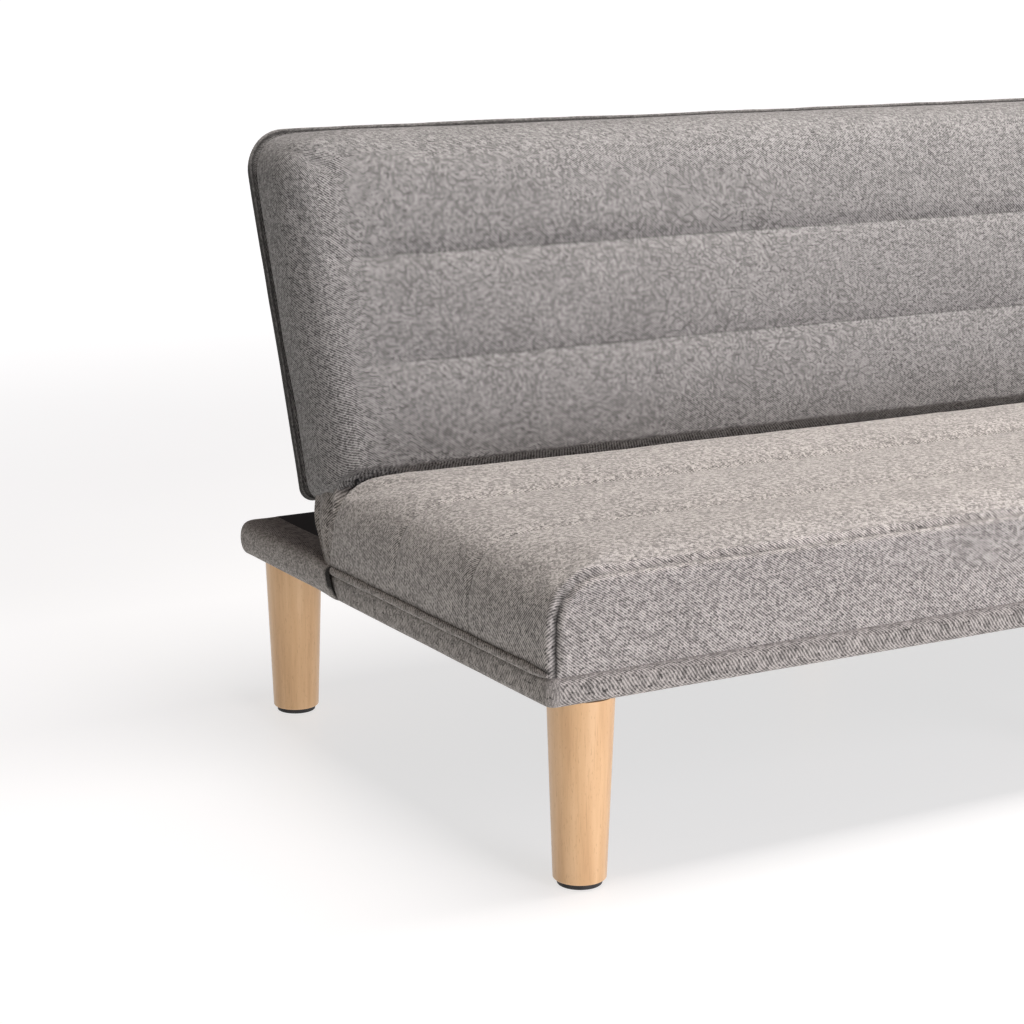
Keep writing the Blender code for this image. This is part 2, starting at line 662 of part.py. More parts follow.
def make_mechanism(hinge, parts, cutters):
    """The click-clack plates of each end, and the pawl with its stud and its spring."""
    stud_reach = math.hypot(PAWL_REACH, PAWL_LENGTH)
    stud = (stud_reach * math.sin(STUD_ANGLE), stud_reach * math.cos(STUD_ANGLE))
    tip_angle = STUD_ANGLE - math.atan2(PAWL_LENGTH, PAWL_REACH)
    tip = (PAWL_REACH * math.sin(tip_angle) - stud[0], PAWL_REACH * math.cos(tip_angle) - stud[1])
    locked_tip = turned_about_x(*tip, PAWL_TRAVEL)
    foot_z = (RAIL_BOTTOM + RAIL_TOP) / 2 - HINGE_Z
    seat_arm_discs = [
        (0, 0, HOUSING_RADIUS),
        (SEAT_ARM_HEEL_Y, foot_z, SEAT_ARM_FOOT_RADIUS),
        (SEAT_ARM_HEEL_Y - SEAT_ARM_FOOT_LENGTH, foot_z, SEAT_ARM_FOOT_RADIUS),
    ]
    back_arm_y = (BACK_TIMBER_FRONT + BACK_TIMBER_REAR) / 2
    back_arm_discs = [
        (0, 0, HOUSING_RADIUS),
        (back_arm_y, BACK_ARM_FOOT_Z, BACK_ARM_RADIUS),
        (back_arm_y, BACK_ARM_HEAD_Z, BACK_ARM_RADIUS),
    ]

    def ends_in_x(low, high, side):
        """The two ends in X of a piece at one end of the sofa."""
        return sorted((side * low, side * high))

    for name, side in SIDES:
        rivet_hole = as_cutter(
            add_rod(
                f"rivet_hole_{name}", RIVET_RADIUS + GAP,
                *ends_in_x(SEAT_ARM_X - PAST, STILE_X + PAST, side), (HINGE_Y, HINGE_Z),
            ),
            cutters,
        )
        seat_arm = add_plate(
            f"seat_arm_{name}", seat_arm_discs, *ends_in_x(SEAT_ARM_X, SEAT_ARM_X + PLATE, side),
            (HINGE_Y, HINGE_Z),
        )
        ratchet = add_rod(
            f"ratchet_{name}", RATCHET_RADIUS, *ends_in_x(RATCHET_X, RATCHET_X + PLATE, side),
            (HINGE_Y, HINGE_Z), segments=32,
        )
        for angle in LOCK_ANGLES:
            discs = [
                (stud[0], stud[1], PAWL_EYE_RADIUS + PAWL_PLAY),
                (stud[0] + locked_tip[0], stud[1] + locked_tip[1], PAWL_TIP_RADIUS + PAWL_PLAY),
            ]
            notch = add_plate(
                f"notch_{name}_{angle}", discs,
                *ends_in_x(RATCHET_X - PAST, RATCHET_X + PLATE + PAST, side), (HINGE_Y, HINGE_Z),
            )
            notch.rotation_euler.x = -LEAN - math.radians(angle)
            cut(ratchet, as_cutter(notch, cutters))
        back_arm = add_plate(
            f"back_arm_{name}", back_arm_discs, *ends_in_x(BACK_ARM_X, BACK_ARM_X + PLATE, side), (0, 0),
            hinge,
        )
        arm_stud = add_rod(
            f"stud_{name}", STUD_RADIUS, *ends_in_x(SEAT_ARM_X, BACK_ARM_X + PLATE / 2, side), stud,
            hinge, segments=16,
        )
        combine(back_arm, "UNION", as_cutter(arm_stud, cutters))
        for plate in (seat_arm, ratchet, back_arm):
            cut(plate, rivet_hole)
            as_part(plate, parts, STEEL)

        head_outer = STILE_X + RIVET_HEAD
        head_inner = SEAT_ARM_X - GAP - RIVET_HEAD
        rivet_profile = [
            (0, head_outer),
            (RIVET_HEAD_RADIUS, head_outer),
            (RIVET_HEAD_RADIUS, STILE_X),
            (RIVET_RADIUS, STILE_X),
            (RIVET_RADIUS, SEAT_ARM_X - GAP),
            (RIVET_HEAD_RADIUS, SEAT_ARM_X - GAP),
            (RIVET_HEAD_RADIUS, head_inner),
            (0, head_inner),
        ]
        rivet = add_turned(f"pivot_rivet_{name}", rivet_profile, (0, HINGE_Y, HINGE_Z), 24)
        rivet.rotation_euler.y = side * math.pi / 2
        as_part(rivet, parts, STEEL)

        pawl = add_plate(
            f"pawl_{name}", [(0, 0, PAWL_EYE_RADIUS), (*tip, PAWL_TIP_RADIUS)],
            *ends_in_x(RATCHET_X, RATCHET_X + PLATE, side), stud, hinge,
        )
        stud_hole = add_rod(
            f"stud_hole_{name}", STUD_RADIUS + GAP, *ends_in_x(SEAT_ARM_X, BACK_ARM_X, side), stud, hinge, 16
        )
        cut(pawl, as_cutter(stud_hole, cutters))
        as_part(pawl, parts, STEEL)
        add_pawl_spring(f"pawl_spring_{name}", side, stud, hinge, parts)


def add_pawl_spring(name, side, stud, hinge, parts):
    """A coil of wire round the pawl's stud, inboard of the pawl."""
    wire = bpy.data.curves.new(name, "CURVE")
    wire.dimensions = "3D"
    wire.bevel_depth = SPRING_WIRE
    wire.bevel_resolution = 2
    wire.use_fill_caps = True
    coil = wire.splines.new("POLY")
    steps = round(SPRING_TURNS * SPRING_STEPS)
    coil.points.add(steps)
    length = PLATE - 2 * SPRING_WIRE - 4 * GAP
    for step, point in enumerate(coil.points):
        angle = 2 * math.pi * step / SPRING_STEPS
        x = length * (step / steps - 0.5)
        point.co = (x, SPRING_RADIUS * math.cos(angle), SPRING_RADIUS * math.sin(angle), 1)
    spring = bpy.data.objects.new(name, wire)
    spring.location = (side * (SEAT_ARM_X + PLATE / 2), *stud)
    spring.parent = hinge
    as_part(spring, parts, STEEL)


def make_crease_gussets(parts):
    """A small wedge of fabric at each end, between the seat's rear and the backrest's bottom."""
    discs = [
        (GUSSET_FRONT_Y, GUSSET_BOTTOM_Z, GUSSET_ROUND),
        (GUSSET_FRONT_Y, GUSSET_TOP_Z, GUSSET_ROUND),
        (GUSSET_REAR_Y, GUSSET_REAR_Z, GUSSET_ROUND),
    ]
    inner_x = HALF - GUSSET_INSET
    for name, side in SIDES:
        low_x, high_x = sorted((side * inner_x, side * (inner_x + FABRIC)))
        gusset = add_plate(f"crease_gusset_{name}", discs, low_x, high_x, (HINGE_Y, HINGE_Z))
        as_part(gusset, parts, GREY_FABRIC)


def main():
    parts, cutters = start_scene()
    hinge = bpy.data.objects.new("backrest_hinge", None)
    hinge.location = (0, HINGE_Y, HINGE_Z)
    hinge.rotation_euler.x = -LEAN
    parts.objects.link(hinge)
    make_legs(parts)
    make_base_frame(parts, cutters)
    make_black_cloths(parts, cutters)
    make_rear_wraps(parts, cutters)
    make_seat(parts, cutters)
    make_back_frame(hinge, parts, cutters)
    make_back_covers(hinge, parts, cutters)
    make_mechanism(hinge, parts, cutters)
    make_crease_gussets(parts)


main()
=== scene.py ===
"""Looks of the futon sofa bed: its upholstery, cloths, turned legs and finishes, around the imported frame.

Metres, +Z up. X runs along the sofa, the front faces -Y. Backrest pieces are shaped standing upright about
the hinge, with Y towards their rear, and are then leaned with the backrest.
"""

import json
import math

import bmesh
import bpy
import numpy as np
from mathutils import Matrix, Vector, noise


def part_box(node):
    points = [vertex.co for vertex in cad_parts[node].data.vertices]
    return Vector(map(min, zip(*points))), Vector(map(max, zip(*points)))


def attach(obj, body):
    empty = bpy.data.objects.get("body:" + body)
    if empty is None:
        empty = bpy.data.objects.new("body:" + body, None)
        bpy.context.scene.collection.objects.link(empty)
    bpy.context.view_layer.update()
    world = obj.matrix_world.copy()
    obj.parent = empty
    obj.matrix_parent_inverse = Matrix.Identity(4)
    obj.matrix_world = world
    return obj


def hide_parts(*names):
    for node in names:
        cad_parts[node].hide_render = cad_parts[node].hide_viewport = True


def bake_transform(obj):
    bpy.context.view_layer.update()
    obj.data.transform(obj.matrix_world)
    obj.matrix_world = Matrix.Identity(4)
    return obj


STEEL_PIECES = ("seat_arm", "ratchet", "back_arm", "pivot_rivet", "pawl", "pawl_spring")

# Backrest
LEAN = math.radians(17.8)
BACK_CORNER = 0.050
BACK_FACE = -0.032  # the front of the pad, behind the hinge
BACK_SEAM = 0.068  # between the pad and its border
BACK_REAR = 0.083
BACK_SHOULDER = 0.432
BACK_TOP = 0.4766
FLARE = 0.007  # how much wider the stuffed backrest is at its top
BACK_PAD_TOP = 0.458  # of the pad, at its seam with the border
CREASE = math.radians(40)

# Sewing
SEAT_CORNER = 0.058
REAR_WRAP_CORNER = 0.025
CLOTH = 0.0018
CHANNEL_SHARES = (1 / 3, 2 / 3)  # of the seat's depth and the backrest's height
TWILL = 0.0026  # from one diagonal rib to the next
TWILL_SLOPE = math.radians(38)
YARN_FLOAT = 0.0029  # a yarn's length on the face of the cloth
FLOOR_GLOW = 0.67  # light that comes up through the studio's pale floor


# --- materials


class Wire:
    """A socket of a finish, so that shader maths reads as arithmetic."""

    def __init__(self, finish, socket):
        self.finish = finish
        self.socket = socket

    def __add__(self, other):
        return self.finish.maths("ADD", self, other)

    def __sub__(self, other):
        return self.finish.maths("SUBTRACT", self, other)

    def __rsub__(self, other):
        return self.finish.maths("SUBTRACT", other, self)

    def __mul__(self, other):
        return self.finish.maths("MULTIPLY", self, other)

    def __truediv__(self, other):
        return self.finish.maths("DIVIDE", self, other)

    def __mod__(self, other):
        return self.finish.maths("FLOORED_MODULO", self, other)

    def __abs__(self):
        return self.finish.maths("ABSOLUTE", self)

    __radd__ = __add__
    __rmul__ = __mul__


class Finish:
    """A material with a Principled shader, whose constants are set on its own sockets."""

    def __init__(self, name, **constants):
        self.material = bpy.data.materials.new(name)
        self.material.use_nodes = True
        self.tree = self.material.node_tree
        self.shader = self.tree.nodes["Principled BSDF"]
        for socket, value in constants.items():
            self.socket(socket).default_value = value

    def socket(self, words):
        """The shader's socket of that name, written with underscores and in lower case."""
        wanted = words.replace("_", " ")
        return next(entry for entry in self.shader.inputs if entry.name.lower() == wanted)

    def add(self, kind, values, output=0, stops=None, **settings):
        """Adds a node, sets it up, fills its sockets and gives back one of its outputs."""
        node = self.tree.nodes.new(kind)
        for setting, value in settings.items():
            setattr(node, setting, value)
        if stops:
            ramp = node.color_ramp.elements
            while len(ramp) < len(stops):
                ramp.new(0.5)
            for element, (position, colour) in zip(ramp, stops):
                element.position = position
                element.color = (*colour, 1.0)
        for socket, value in values.items():
            self.fill(node.inputs[socket], value)
        return Wire(self, node.outputs[output])

    def fill(self, socket, value):
        if isinstance(value, Wire):
            self.tree.links.new(value.socket, socket)
        else:
            socket.default_value = value

    def maths(self, operation, *values):
        return self.add("ShaderNodeMath", dict(enumerate(values)), operation=operation)

    def smooth_step(self, value, low, high):
        return self.add(
            "ShaderNodeMapRange",
            {"Value": value, "From Min": low, "From Max": high},
            interpolation_type="SMOOTHSTEP",
        )

    def noise(self, place, scale, detail=2.0, roughness=0.5):
        values = {"Vector": place, "Scale": scale, "Detail": detail, "Roughness": roughness}
        return self.add("ShaderNodeTexNoise", values)

    def mix(self, factor, first, second):
        return self.add("ShaderNodeMix", {0: factor, 6: first, 7: second}, 2, data_type="RGBA")

    def ramp(self, value, *stops):
        return self.add("ShaderNodeValToRGB", {"Fac": value}, stops=stops)

    def object_place(self, scale=(1, 1, 1)):
        place = self.add("ShaderNodeTexCoord", {}, "Object")
        return self.add("ShaderNodeMapping", {"Vector": place, "Scale": scale})

    def parts_of(self, vector):
        """The three numbers of a vector."""
        node = self.tree.nodes.new("ShaderNodeSeparateXYZ")
        self.fill(node.inputs[0], vector)
        return [Wire(self, output) for output in node.outputs]

    def vector(self, x, y, z=0.0):
        return self.add("ShaderNodeCombineXYZ", {0: x, 1: y, 2: z})

    def bump(self, height, distance, strength):
        return self.add("ShaderNodeBump", {"Height": height, "Distance": distance, "Strength": strength})

    def give(self, **links):
        """Feeds the shader's sockets that change over the surface."""
        for socket, value in links.items():
            self.fill(self.socket(socket), value)
        return self.material


def grey(level, warmth=0.0):
    """A grey as linear red, green and blue, a little warmer or cooler."""
    return (level * (1 + warmth), level, level * (1 - warmth))


def twill_finish(name, level, warmth, sewn=None):
    """Heathered twill on the piece's own UV map, in metres: diagonal ribs of light yarn over dark ones, with
    slubs. Stitched lines run across a pad where its sewing place says. Painted shade darkens the colour where
    the piece's stored shade attribute says, and the grey level given per piece paints light and shade too:
    lighter for the lit seat, darker for the shaded backrest and border."""
    finish = Finish(name, sheen_weight=0.12, sheen_roughness=0.5, specular_ior_level=0.15)
    across, along, _ = finish.parts_of(finish.add("ShaderNodeUVMap", {}, uv_map="weave"))
    flat = finish.vector(across, along)
    wander = finish.noise(flat, 35.0, 1.0)
    ribs = (across * math.sin(TWILL_SLOPE) + along * math.cos(TWILL_SLOPE)) / TWILL + wander * 0.25
    run = across * math.cos(TWILL_SLOPE) - along * math.sin(TWILL_SLOPE)
    rib_number = finish.maths("FLOOR", ribs)
    rib = abs(ribs % 1.0 - 0.5) * 2
    shift = finish.add("ShaderNodeTexWhiteNoise", {"W": rib_number}, noise_dimensions="1D")
    yarn_number = finish.maths("FLOOR", run / YARN_FLOAT + shift * 7.3)
    yarn = finish.add(
        "ShaderNodeTexWhiteNoise", {"Vector": finish.vector(rib_number, yarn_number)}, noise_dimensions="2D"
    )
    grain = (finish.noise(flat, 800.0, 2.0, 0.8) - 0.5) * 2.8 + 0.5
    slub = finish.smooth_step(finish.noise(finish.vector(across * 95, along * 480), 1.0, 2.0), 0.60, 0.72)
    cloud = finish.noise(flat, 9.0, 3.0, 0.6)
    raised = finish.smooth_step(rib, 0.20, 0.75)
    tone = raised * 0.32 + yarn * 0.34 + grain * 0.36 - slub * 0.36 + (cloud - 0.5) * 0.12 + 0.02
    colour = finish.ramp(
        tone,
        (0.12, grey(level * 0.18, warmth)),
        (0.34, grey(level * 0.52, warmth)),
        (0.52, grey(level * 0.98, warmth)),
        (0.70, grey(level * 1.55, warmth)),
        (0.90, grey(level * 2.30, warmth)),
    )
    shade = finish.add("ShaderNodeAttribute", {}, "Fac", attribute_name="painted_shade_share")
    height = raised * 0.6 + yarn * 0.2 - slub * 0.1
    if sewn:
        place = finish.add("ShaderNodeAttribute", {}, "Vector", attribute_name="sewing_place")
        sides, depth, up = finish.parts_of(place)
        line_place = {"depth": depth, "height": up}[sewn["axis"]]
        for line in sewn["lines"]:
            closeness = 1 - finish.smooth_step(abs(line_place - line), 0.0003, 0.0019)
            closeness = closeness * (1 - finish.smooth_step(abs(sides), *sewn["fade"]))
            dash = finish.smooth_step(abs((sides / 0.0075) % 1.0 - 0.5), 0.06, 0.16)
            # The dashes are the stitches; the steady darkening along the whole line, between the dashes too,
            # is painted shade in the stitched groove.
            colour = finish.mix(closeness * (dash * 0.34 + 0.12), colour, (*grey(level * 0.25, warmth), 1.0))
            height = height - closeness * (dash * 0.6 + 0.3)
    # Painted shade: the colour is darkened towards near-black as far as the stored shade attribute says.
    colour = finish.mix(shade, colour, (*grey(level * 0.05, warmth), 1.0))
    return finish.give(base_color=colour, roughness=0.9, normal=finish.bump(height, 0.0003, 0.22))


def black_cloth_finish():
    """Black non-woven cloth with its fine grid of pressed dots and stray fibres."""
    finish = Finish("black_nonwoven", sheen_weight=0.1, specular_ior_level=0.25)
    place = finish.object_place()
    fibres = finish.noise(place, 420.0, 4.0, 0.65)
    dots = finish.add("ShaderNodeTexVoronoi", {"Vector": place, "Scale": 480.0, "Randomness": 0.25})
    blotch = finish.noise(place, 14.0, 3.0)
    stops = (0.25, grey(0.009, -0.05)), (0.55, grey(0.016)), (0.85, grey(0.034, 0.04))
    colour = finish.ramp(fibres * 0.7 + blotch * 0.3, *stops)
    relief = finish.bump(fibres - dots * 0.6, 0.0003, 0.6)
    return finish.give(base_color=colour, roughness=0.78 + fibres * 0.18, normal=relief)


def beech_finish():
    """Light beech under satin lacquer: fine upright grain, short dark flecks and a soft tone change."""
    finish = Finish("lacquered_beech", coat_roughness=0.22, specular_ior_level=0.45, coat_weight=0.35)
    x, y, z = finish.parts_of(finish.object_place())
    grain_place = finish.vector(x, y, z * 0.06)
    bands = finish.noise(grain_place, 75.0, 4.0, 0.6)
    pores = finish.noise(finish.vector(x, y, z * 0.025), 620.0, 2.0, 0.6)
    flecks = finish.noise(finish.vector(x, y, z * 0.16), 900.0, 1.0)
    cloud = finish.noise(finish.vector(x, y, z * 0.4), 12.0, 2.0)
    colour = finish.ramp(
        bands * 0.7 + cloud * 0.3,
        (0.25, (0.56, 0.320, 0.145)),
        (0.50, (0.70, 0.435, 0.215)),
        (0.75, (0.80, 0.530, 0.290)),
    )
    dark = finish.smooth_step(pores, 0.56, 0.74)
    fleck = finish.smooth_step(flecks, 0.64, 0.74)
    colour = finish.mix(dark * 0.30, colour, (0.40, 0.200, 0.080, 1.0))
    colour = finish.mix(fleck * 0.35, colour, (0.38, 0.180, 0.070, 1.0))
    return finish.give(
        base_color=colour,
        roughness=0.30 + bands * 0.16,
        normal=finish.bump(bands * 0.5 - dark * 0.5, 0.00012, 0.5),
    )


def pine_finish():
    """Planed softwood with early and late wood lines along the rail."""
    finish = Finish("planed_softwood", specular_ior_level=0.3)
    place = finish.object_place((0.25, 4.0, 4.0))
    waver = finish.noise(place, 6.0, 2.0)
    _, y, z = finish.parts_of(place)
    rings = abs((y * 22 + z * 9 + waver * 2.4) % 1.0 - 0.5) * 2
    fibres = finish.noise(finish.object_place((0.1, 1.0, 1.0)), 500.0, 2.0)
    stops = (0.15, (0.42, 0.25, 0.11)), (0.45, (0.64, 0.46, 0.26)), (0.8, (0.74, 0.57, 0.35))
    colour = finish.ramp(rings * 0.75 + fibres * 0.25, *stops)
    return finish.give(
        base_color=colour, roughness=0.6 + fibres * 0.2, normal=finish.bump(rings + fibres, 0.0002, 0.4)
    )


def hardboard_finish():
    finish = Finish("hardboard", specular_ior_level=0.3)
    place = finish.object_place()
    fibres = finish.noise(place, 380.0, 5.0, 0.7)
    stops = (0.3, (0.16, 0.085, 0.045)), (0.55, (0.27, 0.16, 0.09)), (0.8, (0.42, 0.28, 0.17))
    relief = finish.bump(fibres, 0.0003, 0.4)
    return finish.give(base_color=finish.ramp(fibres, *stops), roughness=0.65 + fibres * 0.2, normal=relief)


def steel_finish():
    """Pressed steel in black lacquer, a little uneven. The black is a guess that also paints the mechanism at
    the crease as dark as the shade there, so that it shows no glint.
    """
    finish = Finish("black_steel_painted_crease_shade", specular_ior_level=0.35)
    uneven = finish.noise(finish.object_place(), 160.0, 2.0)
    scratches = finish.noise(finish.object_place((1.0, 0.08, 1.0)), 700.0, 2.0)
    colour = finish.ramp(uneven * 0.5 + scratches * 0.5, (0.2, grey(0.018, -0.02)), (0.8, grey(0.034, -0.01)))
    return finish.give(
        base_color=colour, roughness=0.42 + scratches * 0.20, normal=finish.bump(scratches, 0.0001, 0.3)
    )


def plastic_finish():
    """Matte black moulded plastic with a fine spark-eroded texture."""
    finish = Finish("black_plastic", specular_ior_level=0.4)
    place = finish.object_place()
    grain = finish.noise(place, 1500.0, 2.0)
    scuffs = finish.noise(place, 60.0, 4.0, 0.7)
    colour = finish.ramp(scuffs, (0.35, grey(0.012)), (0.75, grey(0.045)))
    relief = finish.bump(grain, 0.0001, 0.5)
    return finish.give(base_color=colour, roughness=0.42 + scuffs * 0.3, normal=relief)


def floor_finish():
    finish = Finish("pale_floor", specular_ior_level=0.2, emission_strength=FLOOR_GLOW)
    across, depth, _ = finish.parts_of(finish.object_place())
    distance = finish.maths("SQRT", across * across + depth * depth)
    glow = finish.ramp(finish.smooth_step(distance, 1.4, 4.5), (0.0, (1, 1, 1)), (1.0, (1.42, 1.42, 1.42)))
    finish.shader.inputs["Emission Color"].default_value = (1.0, 1.0, 1.0, 1.0)
    cloud = finish.noise(finish.object_place(), 1.2, 3.0)
    colour = finish.ramp(cloud, (0.3, grey(0.38)), (0.7, grey(0.41)))
    return finish.give(base_color=colour, roughness=0.42 + cloud * 0.1, emission_color=glow)


# --- mesh helpers


def places_of(thing):
    """A piece's points as rows of x, y and z."""
    co = np.empty(len(thing.data.vertices) * 3, np.float64)
    thing.data.vertices.foreach_get("co", co)
    return co.reshape(-1, 3)


def set_places(thing, places):
    thing.data.vertices.foreach_set("co", np.asarray(places, np.float32).ravel())
    thing.data.update()


def select_only(thing):
    bpy.ops.object.select_all(action="DESELECT")
    thing.select_set(True)
    bpy.context.view_layer.objects.active = thing


def apply_modifier(thing, kind, **settings):
    modifier = thing.modifiers.new(kind.lower(), kind)
    for setting, value in settings.items():
        setattr(modifier, setting, value)
    select_only(thing)
    bpy.ops.object.modifier_apply(modifier=modifier.name)


def finish_mesh(thing, angle=40):
    select_only(thing)
    bpy.ops.object.shade_smooth_by_angle(angle=math.radians(angle))


def clothe(thing, material):
    thing.data.materials.clear()
    thing.data.materials.append(material)


def smooth_step(value, low, high):
    share = np.clip((value - low) / (high - low), 0, 1)
    return share * share * (3 - 2 * share)


def hump(distance, width):
    """1 on a line and 0 away from it."""
    return np.exp(-((distance / width) ** 2))


def wrinkles(places, scale, seed):
    """Smooth seeded unevenness, from -1 to 1, at each place."""
    shift = Vector((seed * 7.1, seed * 3.7, seed * 5.3))
    return np.array([noise.noise(Vector(place) * scale + shift) for place in places])


def cutting_lines(low, high, step, near_low, near_high, sewn=(), near_sewn=()):
    """Places from low to high, a step apart, and closer near both ends and near the sewn lines."""
    lines = {round(low + gap, 6) for gap in near_low} | {round(high - gap, 6) for gap in near_high}
    for line in sewn:
        lines |= {round(line + gap * sign, 6) for gap in near_sewn for sign in (-1, 1)}
    clear = step * 0.6
    count = round((high - low) / step)
    for number in range(count + 1):
        place = low + (high - low) * number / count
        if all(abs(place - line) > clear for line in lines):
            lines.add(round(place, 6))
    return sorted(lines)


def pad_block(name, xs, ys, zs, weave):
    """A closed block of six gridded sides. Each point keeps its place in the block as an attribute, and each
    side is laid out on the UV map by weave(face normal, place)."""
    shape = bmesh.new()
    layout = shape.loops.layers.uv.new("weave")
    sides = []
    for axis, (first, second) in enumerate(((ys, zs), (xs, zs), (xs, ys))):
        for end in (0, -1):
            grid = bmesh.ops.create_grid(
                shape, x_segments=len(first) - 1, y_segments=len(second) - 1, size=0.5
            )
            fixed = (xs, ys, zs)[axis][end]
            for point in grid["verts"]:
                place = [
                    first[round((point.co.x + 0.5) * (len(first) - 1))],
                    second[round((point.co.y + 0.5) * (len(second) - 1))],
                ]
                place.insert(axis, fixed)
                point.co = place
            sides.append((axis, end, {face for point in grid["verts"] for face in point.link_faces}))
    for axis, end, faces in sides:
        for face in faces:
            for corner in face.loops:
                corner[layout].uv = weave(axis, end, corner.vert.co)
    bmesh.ops.remove_doubles(shape, verts=shape.verts, dist=0.00001)
    bmesh.ops.recalc_face_normals(shape, faces=shape.faces)
    mesh = bpy.data.meshes.new(name)
    shape.to_mesh(mesh)
    shape.free()
    thing = bpy.data.objects.new(name, mesh)
    bpy.context.scene.collection.objects.link(thing)
    sewing = mesh.attributes.new("sewing_place", "FLOAT_VECTOR", "POINT")
    sewing.data.foreach_set("vector", places_of(thing).astype(np.float32).ravel())
    return thing


def sewing_places(thing):
    places = np.empty(len(thing.data.vertices) * 3, np.float32)
    thing.data.attributes["sewing_place"].data.foreach_get("vector", places)
    return places.reshape(-1, 3).astype(np.float64)


def paint_shade(pad, amount):
    """Stores the painted shade at each point, from 0 to 1, by which the cloth's finish darkens its colour at
    seams and at edges in shade.
    """
    shade = pad.data.attributes.new("painted_shade_share", "FLOAT", "POINT")
    shade.data.foreach_set("value", np.clip(amount, 0, 1).astype(np.float32))


def rounded(first, second, half, low, high, low_round, high_round):
    """Rounds the corners of an upright rectangle, half wide each way and from low to high, by moving the
    points of its inside with them."""
    sign = np.sign(first)
    width, height = np.abs(first), second.copy()
    for corner_height, direction, radius in ((high, 1, high_round), (low, -1, low_round)):
        across = (width - (half - radius)) / radius
        up = (height - (corner_height - direction * radius)) * direction / radius
        inside = (across > 0) & (up > 0)
        length = np.hypot(across, up)
        share = np.maximum(across, up) / np.where(length > 0, length, 1)
        width = np.where(inside, half - radius + across * share * radius, width)
        height = np.where(inside, corner_height + direction * (up * share - 1) * radius, height)
    return sign * width, height


def quarter_round(distance, radius):
    """How far a rounded edge draws the outline in, at a distance from its end."""
    near = np.clip(radius - distance, 0, radius)
    return radius - np.sqrt(radius**2 - near**2)


def round_the_edge(distance, radius):
    """The cloth's length over a rounded edge, up to a distance from its start."""
    if distance >= radius:
        return radius * math.pi / 2 + distance - radius
    return radius * math.acos(1 - max(distance, 0) / radius)


def inflate(pad, hold, limit, pressure=4.0):
    """Blows a pad up as cloth with its sewn lines held, and keeps each point within a limit of its start."""
    start = places_of(pad)
    held = pad.vertex_groups.new(name="held")
    for weight in np.unique(hold[hold > 0]):
        held.add(np.flatnonzero(hold == weight).tolist(), float(weight), "REPLACE")
    cloth = pad.modifiers.new("cloth", "CLOTH")
    cloth.settings.quality = 4
    cloth.settings.mass = 0.3
    cloth.settings.tension_stiffness = 25
    cloth.settings.compression_stiffness = 25
    cloth.settings.shear_stiffness = 12
    cloth.settings.bending_stiffness = 2.0
    cloth.settings.use_pressure = True
    cloth.settings.uniform_pressure_force = pressure
    cloth.settings.vertex_group_mass = held.name
    cloth.settings.effector_weights.gravity = 0
    cloth.collision_settings.use_collision = False
    for step in range(1, 21):
        bpy.context.scene.frame_set(step)
    evaluated = pad.evaluated_get(bpy.context.evaluated_depsgraph_get())
    moved = places_of(evaluated) - start
    pad.modifiers.remove(cloth)
    bpy.context.scene.frame_set(1)
    pad.vertex_groups.remove(held)
    distance = np.linalg.norm(moved, axis=1, keepdims=True)
    eased = limit * np.tanh(distance / limit)
    set_places(pad, start + moved * eased / np.maximum(distance, 1e-9))


def push_out(pad, amount):
    """Moves each point along its normal."""
    normals = np.empty(len(pad.data.vertices) * 3, np.float32)
    pad.data.vertex_normals.foreach_get("vector", normals)
    set_places(pad, places_of(pad) + normals.reshape(-1, 3) * amount[:, None])


def bent_grid(name, along, across, place, length, width, thickness=CLOTH):
    """A gridded strip of cloth: place(s, t) puts its points, for s and t from 0 to 1, and it gets a wall
    inwards from the side that it shows. Its UV map is in metres."""
    bpy.ops.object.select_all(action="DESELECT")
    bpy.ops.mesh.primitive_grid_add(x_subdivisions=along, y_subdivisions=across, size=2)
    thing = bpy.context.object
    thing.name = name
    thing.data.name = name
    shares = (places_of(thing)[:, :2] + 1) / 2
    set_places(thing, [place(s, t) for s, t in shares])
    layout = thing.data.uv_layers[0]
    layout.name = "weave"
    corners = np.empty(len(layout.data) * 2, np.float32)
    layout.data.foreach_get("uv", corners)
    corners = corners.reshape(-1, 2) * (length, width)
    layout.data.foreach_set("uv", corners.astype(np.float32).ravel())
    bpy.ops.object.mode_set(mode="EDIT")
    bpy.ops.mesh.select_all(action="SELECT")
    bpy.ops.mesh.remove_doubles(threshold=0.00005)
    bpy.ops.object.mode_set(mode="OBJECT")
    if thickness:
        apply_modifier(thing, "SOLIDIFY", thickness=thickness, offset=-1.0, use_even_offset=False)
    return thing


def copied(thing, name, offset=(0, 0, 0)):
    """A copy with its own mesh, moved in its mesh."""
    copy = thing.copy()
    copy.data = thing.data.copy()
    copy.name = name
    copy.data.name = name
    copy.data.transform(Matrix.Translation(offset))
    bpy.context.scene.collection.objects.link(copy)
    return copy


def mirrored(thing, name):
    """The mirror image at the other end of the sofa."""
    copy = copied(thing, name)
    copy.data.transform(Matrix.Scale(-1, 4, (1, 0, 0)))
    copy.data.flip_normals()
    return copy


def lean_with_back(thing):
    """Leans a piece that was shaped upright about the hinge."""
    thing.data.transform(Matrix.Translation(HINGE) @ Matrix.Rotation(-LEAN, 4, "X"))


